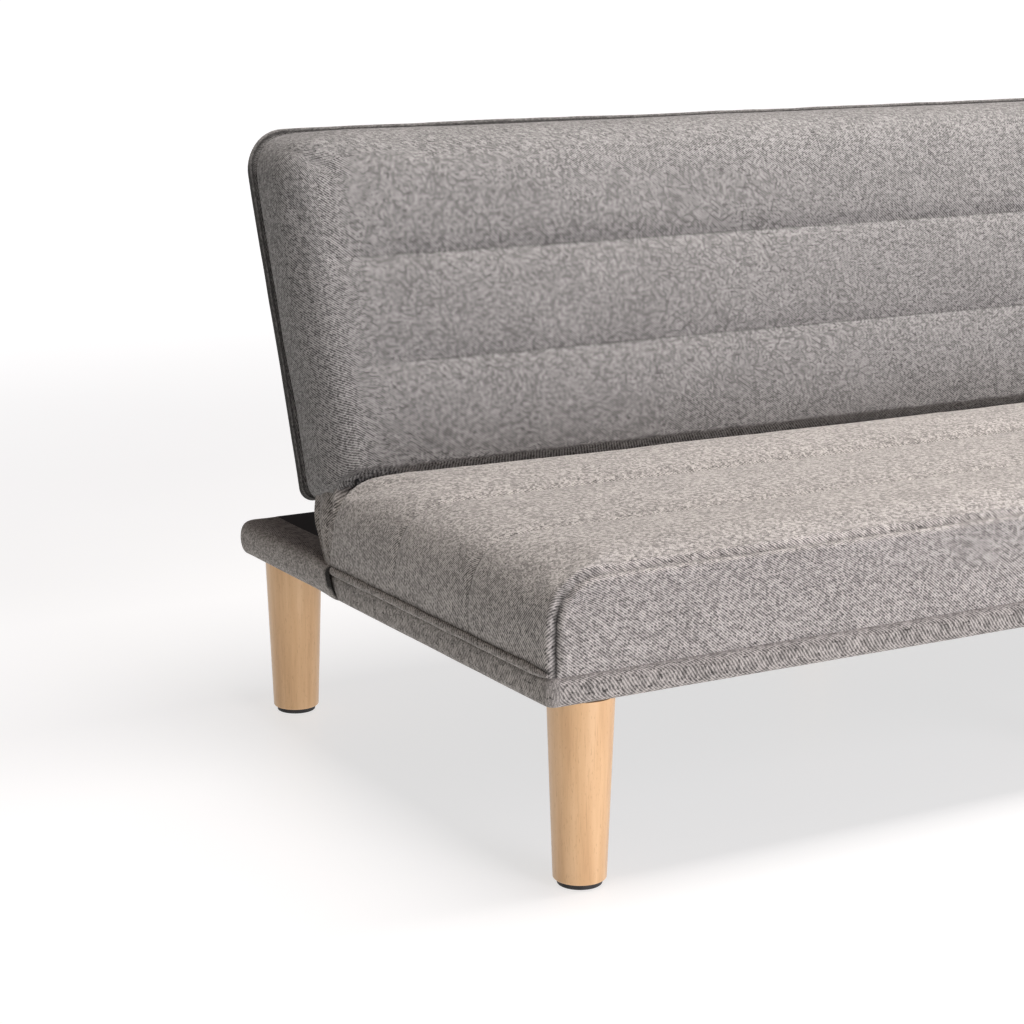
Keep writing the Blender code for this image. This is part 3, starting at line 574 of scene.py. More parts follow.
def route_along(stops, radius, steps=8):
    """Points and outward directions along straight runs between stops, with their corners rounded. Each stop
    is (x, y), and outward is to the right of the way it runs, which turns to the left."""
    points = []
    for number, stop in enumerate(stops):
        here = Vector(stop)
        if number in (0, len(stops) - 1):
            near = Vector(stops[1]) if number == 0 else Vector(stops[-2])
            way = (near - here) if number == 0 else (here - near)
            way.normalize()
            points.append((here, Vector((way.y, -way.x))))
            continue
        before = (here - Vector(stops[number - 1])).normalized()
        after = (Vector(stops[number + 1]) - here).normalized()
        centre = here - before * radius + after * radius
        for step in range(steps + 1):
            angle = math.pi / 2 * step / steps
            direction = (-after * math.cos(angle) + before * math.sin(angle)).normalized()
            points.append((centre + direction * radius, direction))
    return points


# --- sizes read from the frame

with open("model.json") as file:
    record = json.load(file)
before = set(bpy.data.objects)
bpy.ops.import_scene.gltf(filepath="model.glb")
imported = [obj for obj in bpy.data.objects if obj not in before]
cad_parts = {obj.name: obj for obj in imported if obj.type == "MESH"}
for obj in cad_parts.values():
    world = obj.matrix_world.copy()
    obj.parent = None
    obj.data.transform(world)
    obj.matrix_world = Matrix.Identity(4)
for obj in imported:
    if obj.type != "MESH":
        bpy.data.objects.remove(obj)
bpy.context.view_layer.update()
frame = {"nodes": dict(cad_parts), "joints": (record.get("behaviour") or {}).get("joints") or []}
HINGE = Vector(next(joint["pos_m"] for joint in frame["joints"] if joint["name"] == "backrest_recline"))
SEAT_LOW, SEAT_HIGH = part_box("seat_cover")
BAND_LOW, BAND_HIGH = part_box("seat_border_front")
HALF = SEAT_HIGH.x
FRONT = SEAT_LOW.y
SEAT_REAR = SEAT_HIGH.y
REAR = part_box("rear_wrap_left")[1].y


# --- pads


def seat_lines():
    depth = SEAT_REAR - FRONT
    return [FRONT + depth * share for share in CHANNEL_SHARES]


def make_seat_pad():
    """The seat's pad: a rounded form with a flat sewn front panel and two channels along it."""
    half = HALF - 0.0006
    low, high = SEAT_LOW.z - 0.0005, SEAT_HIGH.z - 0.005
    front, rear = FRONT + 0.0012, SEAT_REAR - 0.001
    lines = seat_lines()
    near_end = (0, 0.003, 0.006, 0.010, 0.015, 0.022, 0.031, 0.042, 0.056)
    xs = cutting_lines(-half, half, 0.0115, near_end, near_end)
    ys = cutting_lines(
        front, rear, 0.0125, (0, 0.002, 0.0045, 0.008, 0.013, 0.020, 0.030), (0, 0.005, 0.012, 0.022, 0.034),
        lines, (0, 0.0035, 0.008, 0.014),
    )
    zs = cutting_lines(
        low, high, 0.011, (0, 0.003, 0.007, 0.013), (0, 0.003, 0.006, 0.010, 0.016, 0.024, 0.034, 0.046)
    )

    def weave(axis, end, place):
        if axis == 1:
            return place.x, place.z
        if axis == 0:
            return math.copysign(HALF + high - place.z, place.x), place.y
        return place.x, place.y

    pad = pad_block("seat_pad", xs, ys, zs, weave)
    block = places_of(pad)
    x, y, z = block.T
    x, z = rounded(x, z, half, low, high, 0.0022, SEAT_CORNER)
    middle = (low + high) / 2
    from_front = quarter_round(y - front, 0.009)
    from_rear = quarter_round(rear - y, 0.016)
    up = smooth_step(z, low + 0.02, high - 0.02)
    x = x * (half - from_front - from_rear * smooth_step(z, low + 0.03, high)) / half
    inward = from_front + from_rear
    z = np.where(z > middle, middle + (z - middle) * (high - middle - inward * up) / (high - middle), z)
    corner = quarter_round(half - np.abs(x), 0.026) * smooth_step(z, low + 0.05, high - 0.01)
    y = y - corner * smooth_step(y, rear - 0.07, rear)
    set_places(pad, np.column_stack((x, y, z)))

    edge = (np.abs(block[:, 1] - front) < 1e-6).astype(float)
    hold = np.where(block[:, 2] < low + 0.008, 1.0, 0.0)
    outline = edge * ((np.abs(block[:, 0]) > half - 1e-6) | (block[:, 2] > high - 1e-6))
    hold = np.maximum(hold, outline * 0.6)
    for line in lines:
        on_line = (np.abs(block[:, 1] - line) < 1e-5) & (block[:, 2] > middle)
        hold = np.maximum(hold, on_line * 0.7)
    hold = np.maximum(hold, (block[:, 1] > rear - 0.004) * 1.0)
    inflate(pad, np.round(hold, 1), 0.011)
    apply_modifier(pad, "SUBSURF", levels=1, render_levels=1)

    block = sewing_places(pad)
    on_top = smooth_step(block[:, 2], low + 0.04, high - 0.02)
    groove = np.zeros(len(block))
    for line in lines:
        away = block[:, 1] - line
        groove += (hump(away, 0.010) * 0.0030 + hump(away, 0.0030) * 0.0016) * (0.25 + 0.75 * on_top)
    to_front = block[:, 1] - front
    to_outline = np.minimum(half - np.abs(block[:, 0]), high - block[:, 2])
    seam_near = np.hypot(np.maximum(to_front, 0), np.maximum(to_outline, 0))
    on_panel = to_front < 0.001
    groove += hump(seam_near, 0.0026) * 0.0034
    groove -= np.where(on_panel, hump(to_outline - 0.0080, 0.0042) * 0.0022, 0)
    groove -= np.where(~on_panel, hump(seam_near - 0.0070, 0.0040) * 0.0010, 0)
    puckers = wrinkles(block, 34.0, 1) * hump(to_outline - 0.012, 0.02) * on_panel
    waves = wrinkles(block * (1.0, 0.35, 1.0), 9.0, 2) * 0.0011 + wrinkles(block, 26.0, 3) * 0.0004
    side_waves = wrinkles(block * (1.0, 1.0, 0.4), 30.0, 4) * 0.0014
    side_waves *= smooth_step(np.abs(block[:, 0]), half - 0.01, half)
    side_waves *= 1 - smooth_step(block[:, 2], low, high)
    foot = smooth_step(block[:, 2], low, low + 0.025)
    push_out(pad, (waves + puckers * 0.0007 + side_waves) * foot - groove * (0.25 + 0.75 * foot))
    on_side = smooth_step(np.abs(block[:, 0]), half - 0.02, half - 0.001)
    # Painted shade: a dark line along the front panel's seam, stronger towards the top, and one along the
    # foot of each side where it meets the welt.
    outline_painted_shade = hump(seam_near, 0.0016) * (0.35 + 0.60 * smooth_step(high - block[:, 2], 0.0, 0.05))
    foot_painted_shade = hump(block[:, 2] - low - 0.0068, 0.0030) * on_side * (1 - hump(to_front, 0.004))
    paint_shade(pad, outline_painted_shade + foot_painted_shade * 0.95)
    sewn = {"axis": "depth", "lines": lines, "fade": (2.0, 3.0)}
    # Painted light: the seat's grey level is set lighter than the same cloth elsewhere, for the light that
    # falls on the seat.
    clothe(pad, twill_finish("seat_twill_painted_light", 0.262, 0.055, sewn))
    finish_mesh(pad, 60)
    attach(pad, "base")
    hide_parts("seat_cover", "seat_foam")
    return pad


def back_lines():
    return [BACK_SHOULDER * share for share in CHANNEL_SHARES]


def make_back_pad():
    """The backrest's pad: rounded at its front, with two channels across it, up to the border's seam."""
    draw_in = 0.005
    half = HALF - draw_in
    level = math.tan(LEAN)  # the slope that makes the pad's top level
    bottom, top = 0.003, BACK_PAD_TOP - (BACK_SEAM - BACK_FACE) * level
    face, seam = BACK_FACE + draw_in, BACK_SEAM
    lines = back_lines()
    near_end = (0, 0.004, 0.009, 0.015, 0.022, 0.031, 0.042, 0.056)
    xs = cutting_lines(-half, half, 0.0115, near_end, near_end)
    near_face = (0, 0.0006, 0.0024, 0.0054, 0.0095, 0.0146, 0.0204, 0.0270)
    ys = cutting_lines(face, seam, 0.011, near_face, (0, 0.0025, 0.006, 0.011))
    zs = cutting_lines(bottom, top, 0.0125, near_end, near_end, lines, (0, 0.0035, 0.008, 0.014))

    def weave(axis, end, place):
        out = place.y - face
        if axis == 0:
            return math.copysign(half - 0.034 + round_the_edge(out, 0.034), place.x), place.z
        if axis == 2:
            radius = 0.020 if end else 0.014
            turned = round_the_edge(out, radius) - radius
            return place.x, place.z + (turned if end else -turned)
        high_share = max(0.0, (place.z - 0.25) / (top - 0.25))
        return place.x * (half - 0.034) / half, place.z - 0.020 * high_share

    pad = pad_block("back_pad", xs, ys, zs, weave)
    block = places_of(pad)
    x, y, z = block.T
    x, z = rounded(x, z, half, bottom, top, 0.011, BACK_CORNER)
    inward = quarter_round(y - face, 0.034)
    inward_high = quarter_round(y - face, 0.020)
    inward_low = quarter_round(y - face, 0.014)
    middle = (bottom + top) / 2
    x = x * (half - inward) / half
    z = np.where(
        z > middle,
        middle + (z - middle) * (top - middle - inward_high) / (top - middle),
        middle + (z - middle) * (middle - bottom - inward_low) / (middle - bottom),
    )
    z = z + (y - BACK_FACE) * level * smooth_step(z, middle, top)
    x = x * (1 + FLARE * smooth_step(z, 0.0, top))
    crease = z * math.cos(CREASE) + y * math.sin(CREASE)
    under = np.maximum(0.0012 - crease, 0)
    z = z + under * math.cos(CREASE)
    y = y + under * math.sin(CREASE)
    set_places(pad, np.column_stack((x, y, z)))

    hold = np.where(block[:, 1] > seam - 0.004, 1.0, 0.0)
    for line in lines:
        on_line = (np.abs(block[:, 2] - line) < 1e-5) & (block[:, 1] < 0.02)
        hold = np.maximum(hold, on_line * 0.7)
    hold = np.maximum(hold, (block[:, 2] < bottom + 0.006) * 1.0)
    inflate(pad, np.round(hold, 1), 0.010)
    apply_modifier(pad, "SUBSURF", levels=1, render_levels=1)

    block = sewing_places(pad)
    on_face = 1 - smooth_step(block[:, 1], face + 0.01, face + 0.05)
    inside = smooth_step(half - np.abs(block[:, 0]), 0.0, 0.12)
    groove = np.zeros(len(block))
    for line in lines:
        away = block[:, 2] - line
        dimple = hump(away, 0.012) * 0.0021 + hump(away, 0.0026) * 0.0006
        groove += dimple * on_face * (0.10 + 0.90 * inside)
    side_line = np.hypot(np.maximum(half - np.abs(block[:, 0]), 0), block[:, 1] - (face + 0.016))
    groove += hump(side_line, 0.012) * 0.0028
    groove += hump(block[:, 1] - seam, 0.004) * 0.0025
    waves = wrinkles(block * (0.6, 1.0, 1.0), 9.0, 5) * 0.0014 + wrinkles(block, 24.0, 6) * 0.0004
    gathers = wrinkles(block * (1.0, 0.3, 0.4), 55.0, 7) * hump(block[:, 2] - bottom, 0.03) * 0.0014
    from_corner = np.hypot(half - 0.075 - np.abs(block[:, 0]), block[:, 2] - bottom + 0.004)
    bend = wrinkles(block, 20.0, 8) * 0.9
    arcs = np.sin(from_corner / 0.0155 * 2 * math.pi + bend) * hump(from_corner - 0.045, 0.030)
    arcs *= hump(block[:, 2] - bottom, 0.045) * smooth_step(np.abs(block[:, 0]), half - 0.16, half - 0.05)
    push_out(pad, waves + gathers + arcs * 0.0026 - groove)
    # Painted shade: a dark line along the seam with the border.
    paint_shade(pad, hump(block[:, 1] - seam, 0.0045) * 0.95)
    sewn = {"axis": "height", "lines": lines, "fade": (half - 0.10, half - 0.03)}
    # Painted shade: the backrest's grey level is set darker than the same cloth on the seat, for the shade on
    # the backrest.
    clothe(pad, twill_finish("back_twill_painted_dark", 0.168, 0.025, sewn))
    finish_mesh(pad, 60)
    lean_with_back(pad)
    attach(pad, "backrest")
    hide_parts("back_cover", "back_foam")
    return pad


# --- borders, wraps and cloths


def back_outline():
    """The closed line of the border's seam, as places and outward directions in x and height."""
    corner = BACK_CORNER
    low, high = 0.004, BACK_PAD_TOP
    half = HALF - 0.003
    stops = [(0, low), (-half, low), (-half, high), (half, high), (half, low), (0, low)]
    points = []
    for number, stop in enumerate(stops):
        here = Vector(stop)
        if number in (0, len(stops) - 1):
            points.append((here, Vector((0, -1))))
            continue
        radius = corner if stop[1] == high else 0.013
        before = (here - Vector(stops[number - 1])).normalized()
        after = (Vector(stops[number + 1]) - here).normalized()
        centre = here - before * radius + after * radius
        for step in range(13):
            angle = math.pi / 2 * step / 12
            direction = before * math.sin(angle) - after * math.cos(angle)
            points.append((centre + direction * radius, direction))
    return points


def spaced_route(points, step):
    """Fills a route's straight runs so that no two places are further than a step apart."""
    route = [points[0]]
    for (start, from_way), (end, to_way) in zip(points, points[1:]):
        count = max(1, math.ceil((end - start).length / step))
        for number in range(1, count + 1):
            share = number / count
            way = from_way.lerp(to_way, share)
            route.append((start.lerp(end, share), way.normalized()))
    return route


def route_length(route):
    return sum((second[0] - first[0]).length for first, second in zip(route, route[1:]))


def on_curve(points, share):
    """A place on a smooth curve through a few points."""
    span = share * (len(points) - 1)
    number = min(int(span), len(points) - 2)
    t = span - number
    before = points[max(number - 1, 0)]
    first, second = points[number], points[number + 1]
    after = points[min(number + 2, len(points) - 1)]
    return tuple(
        0.5 * (2 * b + (c - a) * t + (2 * a - 5 * b + 4 * c - d) * t**2 + (3 * b - a - 3 * c + d) * t**3)
        for a, b, c, d in zip(before, first, second, after)
    )


def make_back_border():
    """The stuffed border round the backrest's rear edge, turned over onto the rear."""
    route = spaced_route(back_outline(), 0.010)
    profile = [
        (-0.0060, BACK_SEAM - 0.0016),
        (-0.0008, BACK_SEAM - 0.0004),
        (0.0022, BACK_SEAM + 0.0022),
        (0.0032, BACK_SEAM + 0.0060),
        (0.0018, BACK_SEAM + 0.0112),
        (-0.0036, BACK_REAR - 0.0004),
        (-0.0120, BACK_REAR + 0.0006),
        (-0.0280, BACK_REAR),
    ]
    length, width = route_length(route), 0.052
    high_end = BACK_PAD_TOP - BACK_CORNER

    def place(s, t):
        (x, z), way = route[round(s * (len(route) - 1))]
        out, w = on_curve(profile, t)
        full = math.sin(math.pi * min(1.0, t * 1.4)) ** 2
        small = noise.noise(Vector((x * 22, z * 22, 3.3))) * 0.0008
        uneven = (small + noise.noise(Vector((x * 7, z * 7, 1.3))) * 0.0016) * full
        rise = 0.0050 * full * max(0.0, way.y)
        reach = out + uneven + rise
        wider = 1 + FLARE * float(smooth_step(z, 0.0, BACK_PAD_TOP))
        return x * wider + way.x * reach, w, z + way.y * reach

    border = bent_grid("back_border_roll", len(route) - 1, 21, place, length, width)
    x, w, z = places_of(border).T
    # Painted shade: the border's ends down both sides, which face away from the light, are darkened nearly to
    # black, and a thin dark line runs along its seam with the pad.
    round_end = smooth_step(np.abs(x), HALF - 0.012, HALF - 0.004)
    round_end *= 1 - smooth_step(z, high_end, high_end + 0.03)
    end_painted_shade = round_end * smooth_step(w, BACK_SEAM, BACK_SEAM + 0.004) * 0.80
    seam_line_painted_shade = hump(w - BACK_SEAM - 0.0002, 0.0011) * 0.85
    paint_shade(border, np.maximum(end_painted_shade, seam_line_painted_shade))
    # Painted shade: the border's grey level is set darker than the same cloth on the backrest's face, for the
    # shade on the border.
    clothe(border, twill_finish("border_twill_painted_dark", 0.150, 0.03))
    finish_mesh(border, 60)
    lean_with_back(border)
    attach(border, "backrest")
    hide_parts("back_border")


def make_seat_border(material):
    """The strip under the seat's cover, along its front and both sides."""
    corner = 0.012
    stops = [(-HALF, SEAT_REAR), (-HALF, FRONT), (HALF, FRONT), (HALF, SEAT_REAR)]
    route = spaced_route(route_along(stops, corner), 0.010)
    top = BAND_HIGH.z
    profile = [
        (-0.0110, BAND_LOW.z + 0.0006),
        (-0.0040, BAND_LOW.z + 0.0002),
        (0.0004, BAND_LOW.z + 0.0030),
        (0.0020, BAND_LOW.z + 0.0100),
        (0.0022, top - 0.0095),
        (0.0014, top - 0.0030),
        (-0.0006, top - 0.0002),
        (-0.0022, top + 0.0010),
    ]

    def place(s, t):
        (x, y), way = route[round(s * (len(route) - 1))]
        out, z = on_curve(profile, t)
        uneven = noise.noise(Vector((x * 16, y * 16, z * 30))) * 0.0009 * math.sin(math.pi * t)
        return x + way.x * (out + uneven), y + way.y * (out + uneven), z

    band = bent_grid("seat_border", len(route) - 1, 18, place, route_length(route), 0.044)
    clothe(band, material)
    finish_mesh(band, 60)
    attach(band, "base")
    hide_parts("seat_border_front", "seat_border_left", "seat_border_right")


def make_side_welts(material):
    """A soft roll along the seam of each side, fading out at the front corner."""
    middle_z = BAND_HIGH.z + 0.0032
    rear, front = SEAT_REAR - 0.003, FRONT + 0.006

    def place(s, t):
        y = rear + (front - rear) * s
        ends = min(1.0, s / 0.012) * min(1.0, (1 - s) / 0.05)
        full = 0.35 + 0.65 * math.sqrt(max(0.0, ends))
        angle = 2 * math.pi * t
        uneven = 1 + 0.12 * noise.noise(Vector((y * 24, 0.4, 1.7)))
        out = 0.0058 * math.cos(angle) * uneven * full - 0.0010
        return -(HALF + out), y, middle_z + 0.0050 * math.sin(angle) * full * uneven

    welt = bent_grid("seat_welt_left", 110, 16, place, rear - front, 0.029, thickness=0)
    bpy.ops.object.mode_set(mode="EDIT")
    bpy.ops.mesh.select_all(action="SELECT")
    bpy.ops.mesh.region_to_loop()
    bpy.ops.mesh.fill_holes(sides=0)
    bpy.ops.mesh.select_all(action="SELECT")
    bpy.ops.mesh.normals_make_consistent(inside=False)
    bpy.ops.object.mode_set(mode="OBJECT")
    clothe(welt, material)
    finish_mesh(welt, 60)
    for piece in (welt, mirrored(welt, "seat_welt_right")):
        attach(piece, "base")


def make_rear_wraps(material):
    """Fabric turned over each rear side of the base, padded at its edge and round the rear corner."""
    low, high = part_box("rear_wrap_left")
    lap = high.x - low.x
    radius = REAR_WRAP_CORNER
    front = low.y - 0.006
    straight = REAR - radius - front
    arc = radius * math.pi / 2
    total = straight + arc + lap - radius
    profile = [
        (-lap, high.z - 0.0008),
        (-lap * 0.55, high.z - 0.0002),
        (-0.018, high.z + 0.0002),
        (-0.0066, high.z),
        (0.0006, high.z - 0.0036),
        (0.0038, high.z - 0.0110),
        (0.0040, high.z - 0.0220),
        (0.0016, low.z + 0.0080),
        (-0.0030, low.z + 0.0012),
        (-0.0120, low.z + 0.0002),
    ]

    def place(s, t):
        distance = s * total
        out, z = on_curve(profile, t)
        side, back = -HALF, REAR
        near_front = math.exp(-((distance / 0.022) ** 2))
        uneven = noise.noise(Vector((distance * 26, t * 3.0, 8.8))) * 0.0016 * math.sin(math.pi * t)
        fold = near_front * math.sin(math.pi * t) * 0.0035
        tucked = math.exp(-((distance / 0.003) ** 2)) * 0.0035
        down_side = max(0.0, min(1.0, (t - 0.32) / 0.5))
        lapped = 0.0024 * math.exp(-((distance / 0.030) ** 2)) * min(1.0, down_side * 4)
        out = out + uneven + fold + lapped - tucked
        z = z + uneven * 0.25
        if distance <= straight:
            slant = 0.021 * down_side * max(0.0, 1 - distance / 0.06)
            return side - out, min(front + distance - slant, back + out), z
        if distance <= straight + arc:
            angle = (distance - straight) / radius
            reach = max(radius + out, 0)
            centre = (side + max(radius, -out), back - max(radius, -out))
            return centre[0] - reach * math.cos(angle), centre[1] + reach * math.sin(angle), z
        x = side + radius + distance - straight - arc
        return max(x, side - out), back + out, z

    wrap = bent_grid("rear_wrap_fabric_left", 96, 30, place, total, 0.115)
    x, y, z = places_of(wrap).T
    # Painted shadow: a dark line on the outside along the wrap's slanted front edge, where it laps over the
    # band.
    front_edge = front - 0.021 * np.clip((high.z - 0.004 - z) / 0.034, 0, 1)
    on_outside = 1 - smooth_step(x, -HALF - 0.002, -HALF + 0.010)
    paint_shade(wrap, (1 - smooth_step(y - front_edge, 0.0006, 0.0026)) * on_outside * 0.95)
    clothe(wrap, material)
    finish_mesh(wrap, 60)
    for piece, name in ((wrap, "left"), (mirrored(wrap, "rear_wrap_fabric_right"), "right")):
        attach(piece, "base")
        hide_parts(f"rear_wrap_{name}")


def make_gussets(material):
    """Gathered fabric between the seat's rear corner and the backrest's foot, folded like a fan."""
    foot_z = BAND_HIGH.z + 0.004
    seat_side = [
        (SEAT_REAR - 0.014, foot_z), (SEAT_REAR - 0.014, HINGE.z - 0.055),
        (SEAT_REAR - 0.024, HINGE.z - 0.014), (SEAT_REAR - 0.008, HINGE.z + 0.027),
    ]
    back_side = [
        (SEAT_REAR + 0.013, foot_z), (SEAT_REAR + 0.036, HINGE.z - 0.057),
        (SEAT_REAR + 0.060, HINGE.z - 0.032), (SEAT_REAR + 0.067, HINGE.z - 0.003),
    ]

    def place(s, t):
        front_y, front_z = on_curve(seat_side, s)
        rear_y, rear_z = on_curve(back_side, s)
        y = front_y + (rear_y - front_y) * t
        z = front_z + (rear_z - front_z) * t
        middle = math.sin(math.pi * min(1.0, s * 1.05)) ** 0.7
        fan = t * 2.6 + 0.12 * noise.noise(Vector((s * 2.2, t * 3.0, 5.5)))
        folds = (abs(math.sin(fan * math.pi)) ** 0.7 - 0.5) * 0.0080 * middle
        small = noise.noise(Vector((y * 55, z * 30, 2.2))) * 0.0022 * middle
        edge = 0.012 * max(0.0, t - 0.86) / 0.14 + 0.010 * max(0.0, 0.12 - t) / 0.12
        inward = 0.014 * s**3 + 0.016 * max(0.0, s - 0.6) * (1 - t)
        along_crease = 0.100 * max(0.0, (0.24 - t) / 0.24) * max(0.0, (s - 0.45) / 0.55)
        x = -(HALF - 0.0022) - folds - small + edge + inward + along_crease
        return x, y, z

    gusset = bent_grid("crease_gather_left", 56, 64, place, 0.12, 0.085)
    clothe(gusset, material)
    finish_mesh(gusset, 60)
    for piece, name in ((gusset, "left"), (mirrored(gusset, "crease_gather_right"), "right")):
        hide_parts(f"crease_gusset_{name}")
        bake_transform(piece)


def make_black_cloths(material):
    """The stapled black cloths: over the rear of the base, under it, and over the backrest's rear."""
    low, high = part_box("rear_deck_cloth")
    depth, drop = high.y - low.y, high.z - low.z

    def on_deck(s, t):
        distance = t * (depth + drop)
        x = low.x + (high.x - low.x) * s
        uneven = noise.noise(Vector((x * 7, distance * 9, 4.4))) * 0.0008
        if distance < depth:
            return x, low.y + distance, high.z + uneven
        return x, high.y + uneven, high.z - (distance - depth)

    deck = bent_grid("rear_deck_black_cloth", 120, 60, on_deck, high.x - low.x, depth + drop, thickness=0.001)
    under_low, under_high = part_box("underside_dust_cover")
    under_low, under_high = under_low + Vector((0.007, 0.007, 0)), under_high - Vector((0.007, 0.007, 0))

    def underneath(s, t):
        x = under_low.x + (under_high.x - under_low.x) * (1 - s)
        y = under_low.y + (under_high.y - under_low.y) * t
        uneven = noise.noise(Vector((x * 5, y * 5, 9.1))) * 0.0006
        return x, y, under_low.z + 0.0006 + uneven

    under_width, under_depth = under_high.x - under_low.x, under_high.y - under_low.y
    below = bent_grid(
        "underside_black_cloth", 90, 50, underneath, under_width, under_depth, thickness=0.0008
    )
    reach = HALF - 0.024
    foot, head = 0.024, BACK_TOP - 0.030

    def behind(s, t):
        x = -reach + 2 * reach * (1 - s)
        z = foot + (head - foot) * t
        edge = min(1.0, min(s, 1 - s) * 30, min(t, 1 - t) * 12)
        sag = noise.noise(Vector((x * 6, z * 4, 6.6))) * 0.0016
        sag += noise.noise(Vector((x * 26, z * 9, 1.6))) * 0.0005
        return x, BACK_REAR + 0.0020 + sag * edge - 0.0016 * edge, z

    back = bent_grid("back_rear_black_cloth", 140, 60, behind, 2 * reach, head - foot, thickness=0.0008)
    lean_with_back(back)
    under_size = (under_width, under_depth)
    rows = (
        (deck, "base", "rear_deck_cloth", (high.x - low.x, depth + drop), "rear_rail"),
        (below, "base", "underside_dust_cover", under_size, "front_rail"),
        (back, "backrest", "back_dust_cover", (2 * reach, head - foot), "back_border_roll"),
    )
    for piece, body, node, flat, held_by in rows:
        clothe(piece, material)
        finish_mesh(piece, 50)
        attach(piece, body)
        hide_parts(node)


# --- legs


def turned_blank(name, radius_low, radius_high, low, high, edge):
    """A turned cone about Z with its lower edge eased."""
    bpy.ops.object.select_all(action="DESELECT")
    bpy.ops.mesh.primitive_cone_add(
        vertices=96, radius1=radius_low, radius2=radius_high, depth=high - low, end_fill_type="NGON",
        location=(0, 0, (low + high) / 2),
    )
    blank = bpy.context.object
    blank.name = name
    blank.data.name = name
    bpy.ops.object.transform_apply(location=True, rotation=True, scale=True)
    bpy.ops.object.mode_set(mode="EDIT")
    bpy.ops.mesh.select_mode(type="EDGE")
    bpy.ops.mesh.select_all(action="DESELECT")
    shape = bmesh.from_edit_mesh(blank.data)
    for edge_line in shape.edges:
        if all(abs(point.co.z - low) < 0.0001 for point in edge_line.verts):
            edge_line.select = True
    bmesh.update_edit_mesh(blank.data)
    bpy.ops.mesh.bevel(offset=edge, segments=4, affect="EDGES")
    bpy.ops.object.mode_set(mode="OBJECT")
    return blank


def make_legs():
    """Six turned legs with a dark glide under each."""
    low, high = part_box("leg_front_left")
    glide_low, glide_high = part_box("leg_glide_front_left")
    radius_high = (high.x - low.x) / 2
    radius_low = 0.0294
    leg = turned_blank("leg_blank", radius_low, radius_high, low.z, high.z, 0.0022)
    glide_radius = (glide_high.x - glide_low.x) / 2
    glide = turned_blank("glide_blank", glide_radius, glide_radius, glide_low.z, glide_high.z, 0.0015)
    for blank, kind, finish, slot in (
        (leg, "leg", beech_finish(), "beech"),
        (glide, "leg_glide", plastic_finish(), "glide_plastic"),
    ):
        clothe(blank, finish)
        finish_mesh(blank, 35)
        for row in ("front", "rear"):
            for column in ("left", "centre", "right"):
                node = f"{kind}_{row}_{column}"
                first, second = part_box(node)
                middle = (first + second) / 2
                piece = copied(blank, f"turned_{node}", (middle.x, middle.y, 0))
                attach(piece, "base")
                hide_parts(node)
        bpy.data.objects.remove(blank)


def finish_inner_pieces():
    """Gives the timber, board and steel of the frame their finishes."""
    pine, board, steel = pine_finish(), hardboard_finish(), steel_finish()
    for name, node in frame["nodes"].items():
        if name.startswith(STEEL_PIECES) or name.startswith("leg_bolt"):
            clothe(node, steel)
        elif name.endswith(("rail", "stile")):
            clothe(node, pine)
        elif name in ("seat_deck", "back_panel"):
            clothe(node, board)


# --- stage


def add_sun(name, way, power, spread, colour):
    sun = bpy.data.lights.new(name, "SUN")
    sun.energy = power
    sun.angle = math.radians(spread)
    sun.color = colour
    thing = bpy.data.objects.new(name, sun)
    thing.rotation_euler = Vector(way).to_track_quat("-Z", "Y").to_euler()
    bpy.context.scene.collection.objects.link(thing)


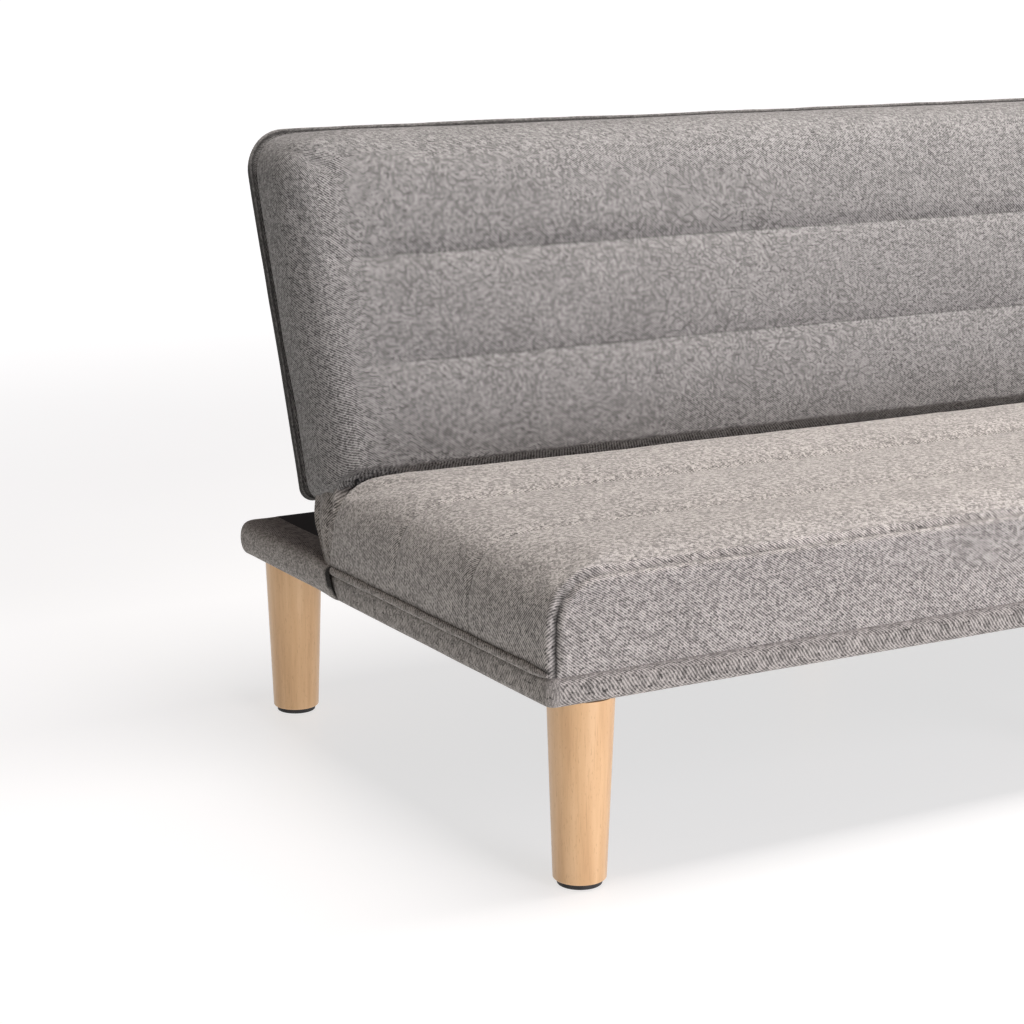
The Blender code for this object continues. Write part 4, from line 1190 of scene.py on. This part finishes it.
def make_stage():
    scene = bpy.context.scene
    bpy.ops.object.select_all(action="DESELECT")
    bpy.ops.mesh.primitive_grid_add(x_subdivisions=8, y_subdivisions=8, size=600, location=(0, 0, 0))
    floor = bpy.context.object
    floor.name = "floor"
    clothe(floor, floor_finish())

    world = bpy.data.worlds.new("studio")
    scene.world = world
    world.use_nodes = True
    nodes = world.node_tree.nodes
    place = nodes.new("ShaderNodeTexCoord")
    split = nodes.new("ShaderNodeSeparateXYZ")
    ramp = nodes.new("ShaderNodeValToRGB")
    ramp.color_ramp.elements[0].position = 0.0
    ramp.color_ramp.elements[0].color = (0.105, 0.072, 0.044, 1.0)
    ramp.color_ramp.elements[1].position = 0.8
    ramp.color_ramp.elements[1].color = (0.22, 0.205, 0.225, 1.0)
    shift = nodes.new("ShaderNodeMath")
    shift.operation = "MULTIPLY_ADD"
    shift.inputs[1].default_value = 0.5
    shift.inputs[2].default_value = 0.5
    links = world.node_tree.links
    links.new(place.outputs["Generated"], split.inputs[0])
    links.new(split.outputs["X"], shift.inputs[0])
    links.new(shift.outputs[0], ramp.inputs["Fac"])
    links.new(ramp.outputs["Color"], nodes["Background"].inputs["Color"])
    scene.view_settings.view_transform = "Standard"

    softbox = bpy.data.lights.new("overhead_softbox", "AREA")
    softbox.shape = "RECTANGLE"
    softbox.size = 3.0
    softbox.size_y = 0.9
    softbox.energy = 76
    softbox.color = (1.0, 0.955, 0.925)
    overhead = bpy.data.objects.new("overhead_softbox", softbox)
    overhead.location = (0.35, -0.28, 2.15)
    scene.collection.objects.link(overhead)
    card = bpy.data.lights.new("front_card", "AREA")
    card.shape = "RECTANGLE"
    card.size = 3.2
    card.size_y = 0.4
    card.energy = 30
    card.color = (0.99, 0.95, 1.02)
    low_card = bpy.data.objects.new("front_card", card)
    low_card.location = (0.45, -2.3, 0.24)
    low_card.rotation_euler = (math.radians(90), 0, 0)
    low_card.visible_camera = False
    scene.collection.objects.link(low_card)
    add_sun("front_fill", (-0.30, 1.0, -0.62), 0.45, 25, (0.99, 0.955, 1.03))

    camera = bpy.data.cameras.new("camera")
    camera.sensor_width = 36.0
    camera.lens = 88.6
    camera.clip_end = 1000.0
    viewer = bpy.data.objects.new("camera", camera)
    viewer.location = (-2.1756, -2.5534, 1.0)
    viewer.rotation_euler = (math.radians(90 - 12.94), 0, math.radians(-29.75))
    scene.collection.objects.link(viewer)
    scene.camera = viewer


make_stage()
finish_inner_pieces()
make_legs()
make_seat_pad()
make_back_pad()
make_back_border()
band_twill = twill_finish("band_twill", 0.228, 0.065)
make_seat_border(band_twill)
make_side_welts(band_twill)
make_rear_wraps(band_twill)
make_gussets(band_twill)
make_black_cloths(black_cloth_finish())
